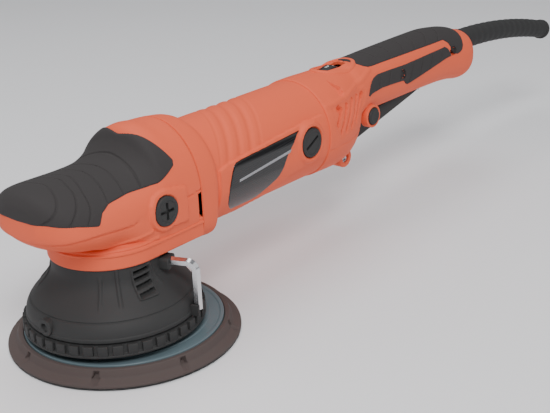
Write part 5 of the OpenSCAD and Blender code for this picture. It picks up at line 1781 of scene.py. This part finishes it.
    def half(self, side: int) -> None:
        """One half of the shell, with the slot of the trigger and of the dial cut through."""
        x = np.concatenate([[183.1, 183.2, 183.35, 183.5, 183.8, 184.2], np.linspace(184.8, 262, 140),
                            np.linspace(263, 406.5, 96)])
        tail = np.linspace(self.loft.share_at(407.0), 1, 14)
        shares = np.concatenate([self.loft.share_at(x), tail])
        start = math.pi / 2 if side == LEFT else -math.pi / 2
        turn = (start + np.linspace(0, math.pi, 124))[None, :]
        outer, out = self.loft.frame(shares[:, None], turn)
        move = self.relief(outer)
        inner = outer - out * self.wall
        inner[..., 1] = side * np.maximum(np.abs(inner[..., 1]), 0.02)
        top = outer + out * move[..., None]
        top[..., 1] = side * np.maximum(side * top[..., 1], 0.02)
        # Vents, scoop and screw holes carry their depth, which the finish darkens as painted shade.
        deep = np.maximum(-move - 0.4, 0)
        sunk = np.minimum(move, 0)
        inner = inner + out * sunk[..., None] * 0.9
        piece = self.shop.sheet(f"{hand(side)}_handle_shell", top, inner, deep)
        flat, z = upright(0), self.at.axis_z
        slot = self.shop.slab("slot", strip(*self.slot, 2), z - 30, z + 1, flat, 0)
        window = self.shop.slab("window", strip(*self.window, 2), z + 20, z + 50, flat, 0)
        self.shop.carve(piece, slot, window)
        self.fit(piece, "housing", "orange_shell", Finishes.orange, f"handle_half_{hand(side)}")

    def top_grip(self) -> None:
        """The soft grip over the handle's top, down both flanks at its rear end."""
        x = np.concatenate([np.linspace(247.4, 258, 34)[:-1], np.linspace(258, 362, 150)[:-1],
                            np.linspace(362, 391.6, 64)])
        edge_x = [247.4, 248.2, 250.2, 253, 257, 262, 362, 367, 370, 374, 378, 382, 385.5, 388,
                  390.6, 391.6]
        edge_z = [36.0, 35.3, 34.2, 32.6, 31.2, 30.8, 30.8, 27.5, 21, 17.2, 16.2, 16.8, 18.4, 21.6,
                  28.3, 31.6]
        share = self.loft.share_at(x)[:, None]
        low = self.loft.turn_at(share, self.at.axis_z + np.interp(x, edge_x, edge_z)[:, None])
        v = np.linspace(0, 1, 150)[None, :]
        turn = low * (1 - v) + (math.pi - low) * v
        points = self.loft.points(share, turn)
        w = np.minimum(np.abs(points[..., 1]) / 19.0, 1.0)
        cut = np.zeros(points.shape[:2])
        for at, bow in self.top_grooves:
            cut = cut + line_cut(points[..., 0] - (at - bow * w * w), 1.3, 0.62)
        ring = np.hypot(points[..., 0] - 372, points[..., 2] - self.at.axis_z - 20)
        cut = cut - 4.0 * (1 - ease(ring, 3.3, 3.8)) * (w > 0.5)
        piece = self.clad("top_pad", points, cut)
        self.fit(piece, "housing", "grip_rubber", Finishes.rubber, "top_grip")

    def side_grip(self, side: int) -> None:
        """The soft grip on one flank."""
        x = np.concatenate([np.linspace(246.6, 263, 50)[:-1], np.linspace(263, 368.6, 150)])
        top_z = np.interp(x, [246.6, 248.4, 250.6, 253.2, 257, 263, 303, 361, 365, 368.6],
                          [12.6, 16.5, 19.6, 21.9, 23.8, 25.0, 24.3, 25.9, 23.5, 17.2])
        low_z = np.interp(x, [246.6, 248.6, 252, 268, 297.5, 300, 303, 307, 359.8, 368.6],
                          [12.2, 11.0, 12.2, 13.2, 11.9, 8.8, 7.6, 7.9, 15.9, 16.8])
        share = self.loft.share_at(x)[:, None]
        z = self.at.axis_z
        low = self.loft.turn_at(share, z + low_z[:, None])
        high = self.loft.turn_at(share, z + top_z[:, None])
        v = np.linspace(0, 1, 64)[None, :]
        turn = low * (1 - v) + high * v
        turn = math.pi - turn if side == LEFT else turn
        points = self.loft.points(share, turn)
        cut = np.zeros(points.shape[:2])
        tall = points[..., 2] - z
        for a, b, c, d in self.side_grooves:
            cut = cut + line_cut(to_line(points[..., 0], tall, [(a, b), (c, d)]), 1.3, 0.62)
        for at, height in self.screws:
            hole = np.hypot(points[..., 0] - at, tall - height)
            cut = cut - 4.0 * (1 - ease(hole, 3.3, 3.8))
        piece = self.clad(f"{hand(side)}_pad", points, cut)
        self.fit(piece, "housing", "grip_rubber", Finishes.rubber, f"side_grip_{hand(side)}")

    def bezel(self) -> None:
        """The raised oval rim around the dial's window."""
        steps = np.linspace(0, 2 * math.pi, 120, endpoint=False)
        mid_x = 233.4
        rings = []
        for grow, lift in ((1.9, -1.4), (1.7, 0.2), (1.0, 1.0), (0.0, 1.3), (-1.4, 1.2), (-2.2, 0.4),
                           (-2.4, -1.4)):
            a = mid_x + (19.8 + grow) * bend(np.cos(steps), np.array(0.9))
            b = (12.2 + grow) * bend(np.sin(steps), np.array(0.9))
            share = self.loft.share_at(a)
            s = self.loft.sections(share)
            rise = s[..., 3] * (1 - np.abs(b / s[..., 1]) ** s[..., 6]) ** (1 / s[..., 6])
            rings.append(np.stack([a, b, s[..., 2] + rise + lift], axis=-1))
        piece = self.shop.tube("dial_bezel", np.array(rings), ends=False)
        self.fit(piece, "housing", "orange_shell", Finishes.orange)

    def dial(self) -> None:
        """The speed dial: a knurled wheel across the handle, with numbers on its rim."""
        x, high = self.dial_at
        z, r, half = self.at.axis_z + high, 16.6, 4.0
        outline = fillet([(3.05, -half), (r - 0.7, -half, 0.6), (r, -half + 0.8, 0.4),
                          (r, half - 0.8, 0.4), (r - 0.7, half, 0.6), (3.05, half)], 4)
        wheel = self.shop.lathe("dial_wheel", outline, sideways(x, 0, z, LEFT), 160)
        self.fit(wheel, "dial", "dial", Finishes.black, "speed_dial")
        bar = fillet([(-0.6, -0.5), (0.45, -0.34, 0.25), (0.45, 0.34, 0.25), (-0.6, 0.5)])
        tooth = self.shop.slab("knurl", bar, -half + 0.5, -half + 2.1, upright(-self.at.drive_x), 0.1)
        spread = sideways(x, 0, z, LEFT)
        knurls = ring_pattern(self.shop, "dial_knurls", tooth, Finishes.black, 60, r, 0, spread)
        self.fit(knurls, "dial", "dial", Finishes.black)
        for k in range(6):
            self.numeral(str(k + 1), x, z, r + 0.1, 24 - 30.0 * k)

    def numeral(self, sign: str, x: float, z: float, r: float, turn: float) -> None:
        """One number on the dial's rim."""
        text = bpy.data.curves.new("numeral_" + sign, "FONT")
        text.body = sign
        text.size = 5.4 * MM
        text.extrude = 0.12 * MM
        text.align_x = "CENTER"
        text.align_y = "CENTER"
        holder = bpy.data.objects.new("numeral_shape", text)
        bpy.context.scene.collection.objects.link(holder)
        bpy.context.view_layer.update()
        live = holder.evaluated_get(bpy.context.evaluated_depsgraph_get())
        mesh = bpy.data.meshes.new_from_object(live)
        bpy.data.objects.remove(holder)
        lay = Matrix.Rotation(math.radians(-90), 4, "Z")
        spin = Matrix.Rotation(math.radians(turn), 4, "Y") @ Matrix.Translation((0, 0, r))
        shift = Matrix.Translation((x + self.at.drive_x, 0.6, z))
        grow = Matrix.Scale(MM, 4) @ shift @ spin @ Matrix.Scale(1 / MM, 4)
        mesh.transform(grow @ lay)
        self.fit(self.shop.wrap("numeral_" + sign, mesh), "dial", "dial", Finishes.numeral)

    def lock_collar(self) -> None:
        """The lock button and the ring that it sits in, on the left flank."""
        x, high, r = self.lock
        z = self.at.axis_z + high
        outline = fillet([(r + 0.35, -6), (r + 2.3, -6), (r + 2.3, 0.2, 0.8), (r + 0.35, 0.2, 0.5)], 5)
        collar = self.shop.lathe("lock_collar", outline, sideways(x, -24.3, z, LEFT), 72)
        self.fit(collar, "housing", "orange_shell", Finishes.orange)
        outline = fillet([(0, -4.0), (r - 0.1, -4.0), (r - 0.1, 1.0, 1.2), (r - 2.0, 1.7, 0.8),
                          (0, 1.2)], 6)
        button = self.shop.lathe("lock_knob", outline, sideways(x, -24.3, z, LEFT), 72)
        stem = self.shop.lathe("lock_stem", [(0, -10.4), (2.4, -10.4), (2.4, -3.6), (0, -3.6)],
                               sideways(x, -24.3, z, LEFT), 32)
        self.fit(button, "lock", "black_plastic", Finishes.black, "lock_button")
        self.fit(stem, "lock", "black_plastic", Finishes.black)

    def lug(self) -> None:
        """The screw lug under the rear housing."""
        (x, high), r = self.lug_at, 7.6
        outline = fillet([(0, 0.05), (r, 0.05), (r, 18.4, 1.4), (3.9, 18.4, 0.4), (3.7, 15.1),
                          (0, 15.1)], 5)
        for side in (LEFT, RIGHT):
            piece = self.shop.lathe(f"{hand(side)}_lug", outline,
                                    sideways(x, 0, self.at.axis_z + high, side), 72)
            self.fit(piece, "housing", "orange_shell", Finishes.orange)

    def paddle(self) -> None:
        """The trigger paddle and a round post that stands up from it."""
        under = self.at.axis_z + self.centre - 20
        outline = fillet([
            (238.5, under - 16.6, 1.6), (241.2, under - 19.6, 2.4), (252, under - 18.2, 8),
            (326, under - 2.2, 6), (338.4, under + 0.8, 2.4), (338.8, under + 5.4, 1.6),
            (328.5, under + 6.4, 1.6), (258.5, under - 2.2, 8), (241.5, under - 5, 2.6)], 7)
        place = Matrix.Rotation(math.radians(90), 4, "X")
        piece = self.shop.slab("paddle", outline, -9.9, 9.9, place, 1.5)
        self.fit(piece, "trigger", "black_plastic", Finishes.black, "trigger_paddle")
        post = self.shop.lathe("paddle_post", [(0, under - 6), (3.5, under - 6),
                                               (3.5, under + 5.6), (0, under + 5.6)],
                               upright(272), 32)
        self.fit(post, "trigger", "black_plastic", Finishes.black)


@dataclass
class Guard(Assembly):
    """The long flexible guard that the lead leaves through."""

    length: float = 165.0
    curve: float = 640.0
    root_r: float = 9.2
    tip_r: float = 8.2
    bore_r: float = 4.2
    high: float = 18.1
    wave: float = 10.2

    def build(self) -> None:
        """Builds the sleeve with its root collar, its shallow waves and its rolled mouth."""
        base = self.at.axis_z + self.high
        turn = np.linspace(0, 2 * math.pi, 64, endpoint=False)[None, :]
        along = np.concatenate([np.linspace(-8, 0, 8)[:-1], np.linspace(0, self.length, 300)])
        share = np.clip(along / self.length, 0, 1)
        r = self.root_r + (self.tip_r - self.root_r) * share
        r = r + 1.1 * (1 - ease(np.abs(along - 3.0), 0.8, 2.6))
        wave = np.cos(2 * math.pi * along / self.wave)
        r = r + 0.16 * wave * ease(along, 8, 30) * (1 - ease(along, 138, 156))
        mouth = ease(along, self.length - 4.6, self.length - 3.8)
        tail = self.length - along
        bead = 1.0 * mouth * round_edge(tail, 1.1)
        r = r + bead - 0.9 * (1 - round_edge(tail, 0.9))
        back = along[::-4]
        reach = np.concatenate([along, back])
        size = np.concatenate([r, np.full(back.shape, self.bore_r)])
        angle = np.maximum(reach, 0) / self.curve
        ahead = np.minimum(reach, 0)
        far = self.curve + size[:, None] * np.sin(turn)
        x = self.at.tail_x + ahead[:, None] + far * np.sin(angle)[:, None]
        z = base - self.curve + far * np.cos(angle)[:, None]
        y = size[:, None] * np.cos(turn)
        grid = np.stack([x, y, z], axis=-1)
        hollow = np.zeros(grid.shape[:2])
        # The inside of the bore is given a depth so that the finish darkens it: painted shade.
        hollow[len(along) + 1:] = 1.5
        piece = self.shop.tube("guard_sleeve", grid, hollow, ends=False)
        self.fit(piece, "housing", "guard_rubber", Finishes.guard, "cord_guard")


@dataclass
class Works(Assembly):
    """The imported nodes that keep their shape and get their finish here."""

    finishes: dict[Finish, tuple[str, ...]] = field(default_factory=lambda: {
        Finishes.turned: ("pad_bolt", "pad_spindle", "pad_bearing_lower", "pad_bearing_upper",
                          "drive_spindle", "lower_bearing", "upper_bearing"),
        Finishes.steel: ("shroud_screws", "head_screws", "bevel_pinion", "rotor_shaft",
                         "front_bearing", "rear_bearing", "handle_screws", "trigger_pin",
                         "trigger_spring", "lock_spring", "brush_springs", "crown_gear"),
        Finishes.weight: ("counterweight",),
        Finishes.alloy: ("gear_case",),
        Finishes.chrome: ("hex_key",),
        Finishes.black: ("key_clip", "switch_body", "cord_clamp"),
        Finishes.brown: ("cooling_fan",),
        Finishes.iron: ("rotor_core", "field_stator"),
        Finishes.copper: ("rotor_windings",),
        Finishes.bars: ("commutator",),
        Finishes.brass: ("brush_holder_left", "brush_holder_right"),
        Finishes.carbon: ("carbon_brush_left", "carbon_brush_right"),
        Finishes.board: ("speed_board",),
        Finishes.white: ("switch_plunger", "terminal_block"),
    })

    def build(self) -> None:
        """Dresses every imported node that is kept."""
        for finish, nodes in self.finishes.items():
            finish.coat_node(*nodes)
            log.info("%-24s %s", finish.name, ", ".join(nodes))


# ---------- Stage ----------


@dataclass(frozen=True)
class Studio:
    """The floor, the lights and the camera."""

    seat: tuple[float, float, float] = (-0.4154, -0.4915, 0.3355)
    across: tuple[float, float, float] = (0.6414, -0.7662, -0.0402)
    upward: tuple[float, float, float] = (0.3075, 0.2088, 0.9284)
    lens: float = 71.9
    sky: float = 0.24
    reach: float = 6.0

    def build(self) -> None:
        """Sets the stage."""
        self.camera()
        self.floor()
        self.light("key_light", (-0.75, -0.95, 1.45), 0.7, 27.0)
        self.light("fill_light", (0.9, -1.3, 0.9), 1.4, 5.0)
        self.light("top_light", (0.15, 0.35, 1.8), 1.3, 15.0)
        self.light("back_light", (-0.9, 1.1, 0.9), 0.9, 5.0)
        world = bpy.data.worlds.new("pale_room")
        world.use_nodes = True
        sky = world.node_tree.nodes["Background"]
        sky.inputs["Color"].default_value = (0.93, 0.95, 1.0, 1.0)
        sky.inputs["Strength"].default_value = self.sky
        bpy.context.scene.world = world

    def camera(self) -> None:
        """Puts the camera on its stand."""
        lens = bpy.data.cameras.new("view")
        lens.lens = self.lens
        lens.sensor_width = 36.0
        lens.clip_start = 0.02
        right, up = Vector(self.across), Vector(self.upward)
        turn = Matrix((right, up, right.cross(up))).transposed()
        eye = bpy.data.objects.new("view", lens)
        eye.matrix_world = Matrix.Translation(self.seat) @ turn.to_4x4()
        bpy.context.scene.collection.objects.link(eye)
        bpy.context.scene.camera = eye

    def floor(self) -> None:
        """A plain pale floor under the hooks."""
        mesh = bpy.data.meshes.new("floor")
        signs = ((-1, -1), (1, -1), (1, 1), (-1, 1))
        corners = [(a * self.reach, b * self.reach, 0.0) for a, b in signs]
        mesh.from_pydata(corners, [], [(0, 1, 2, 3)])
        piece = bpy.data.objects.new("floor", mesh)
        bpy.context.scene.collection.objects.link(piece)
        Finishes.floor.apply(piece)

    def light(self, name: str, spot: tuple[float, float, float], size: float,
              power: float) -> None:
        """A soft square light that faces the machine."""
        lamp = bpy.data.lights.new(name, "AREA")
        lamp.shape = "SQUARE"
        lamp.size = size
        lamp.energy = power
        holder = bpy.data.objects.new(name, lamp)
        holder.location = spot
        aim = Vector((0.1, 0, 0.05)) - Vector(spot)
        holder.rotation_euler = aim.to_track_quat("-Z", "Y").to_euler()
        bpy.context.scene.collection.objects.link(holder)


def main() -> None:
    """Builds the machine, sub-assembly by sub-assembly."""
    logging.basicConfig(level=logging.INFO, format="%(name)s: %(message)s")
    shop = Shop(Datum.read())
    Studio().build()
    for kind in (Pad, Shroud, Head, Motor, Handle, Guard, Works):
        log.info("building %s", kind.__name__)
        kind(shop).build()


if __name__ == "__main__":
    main()
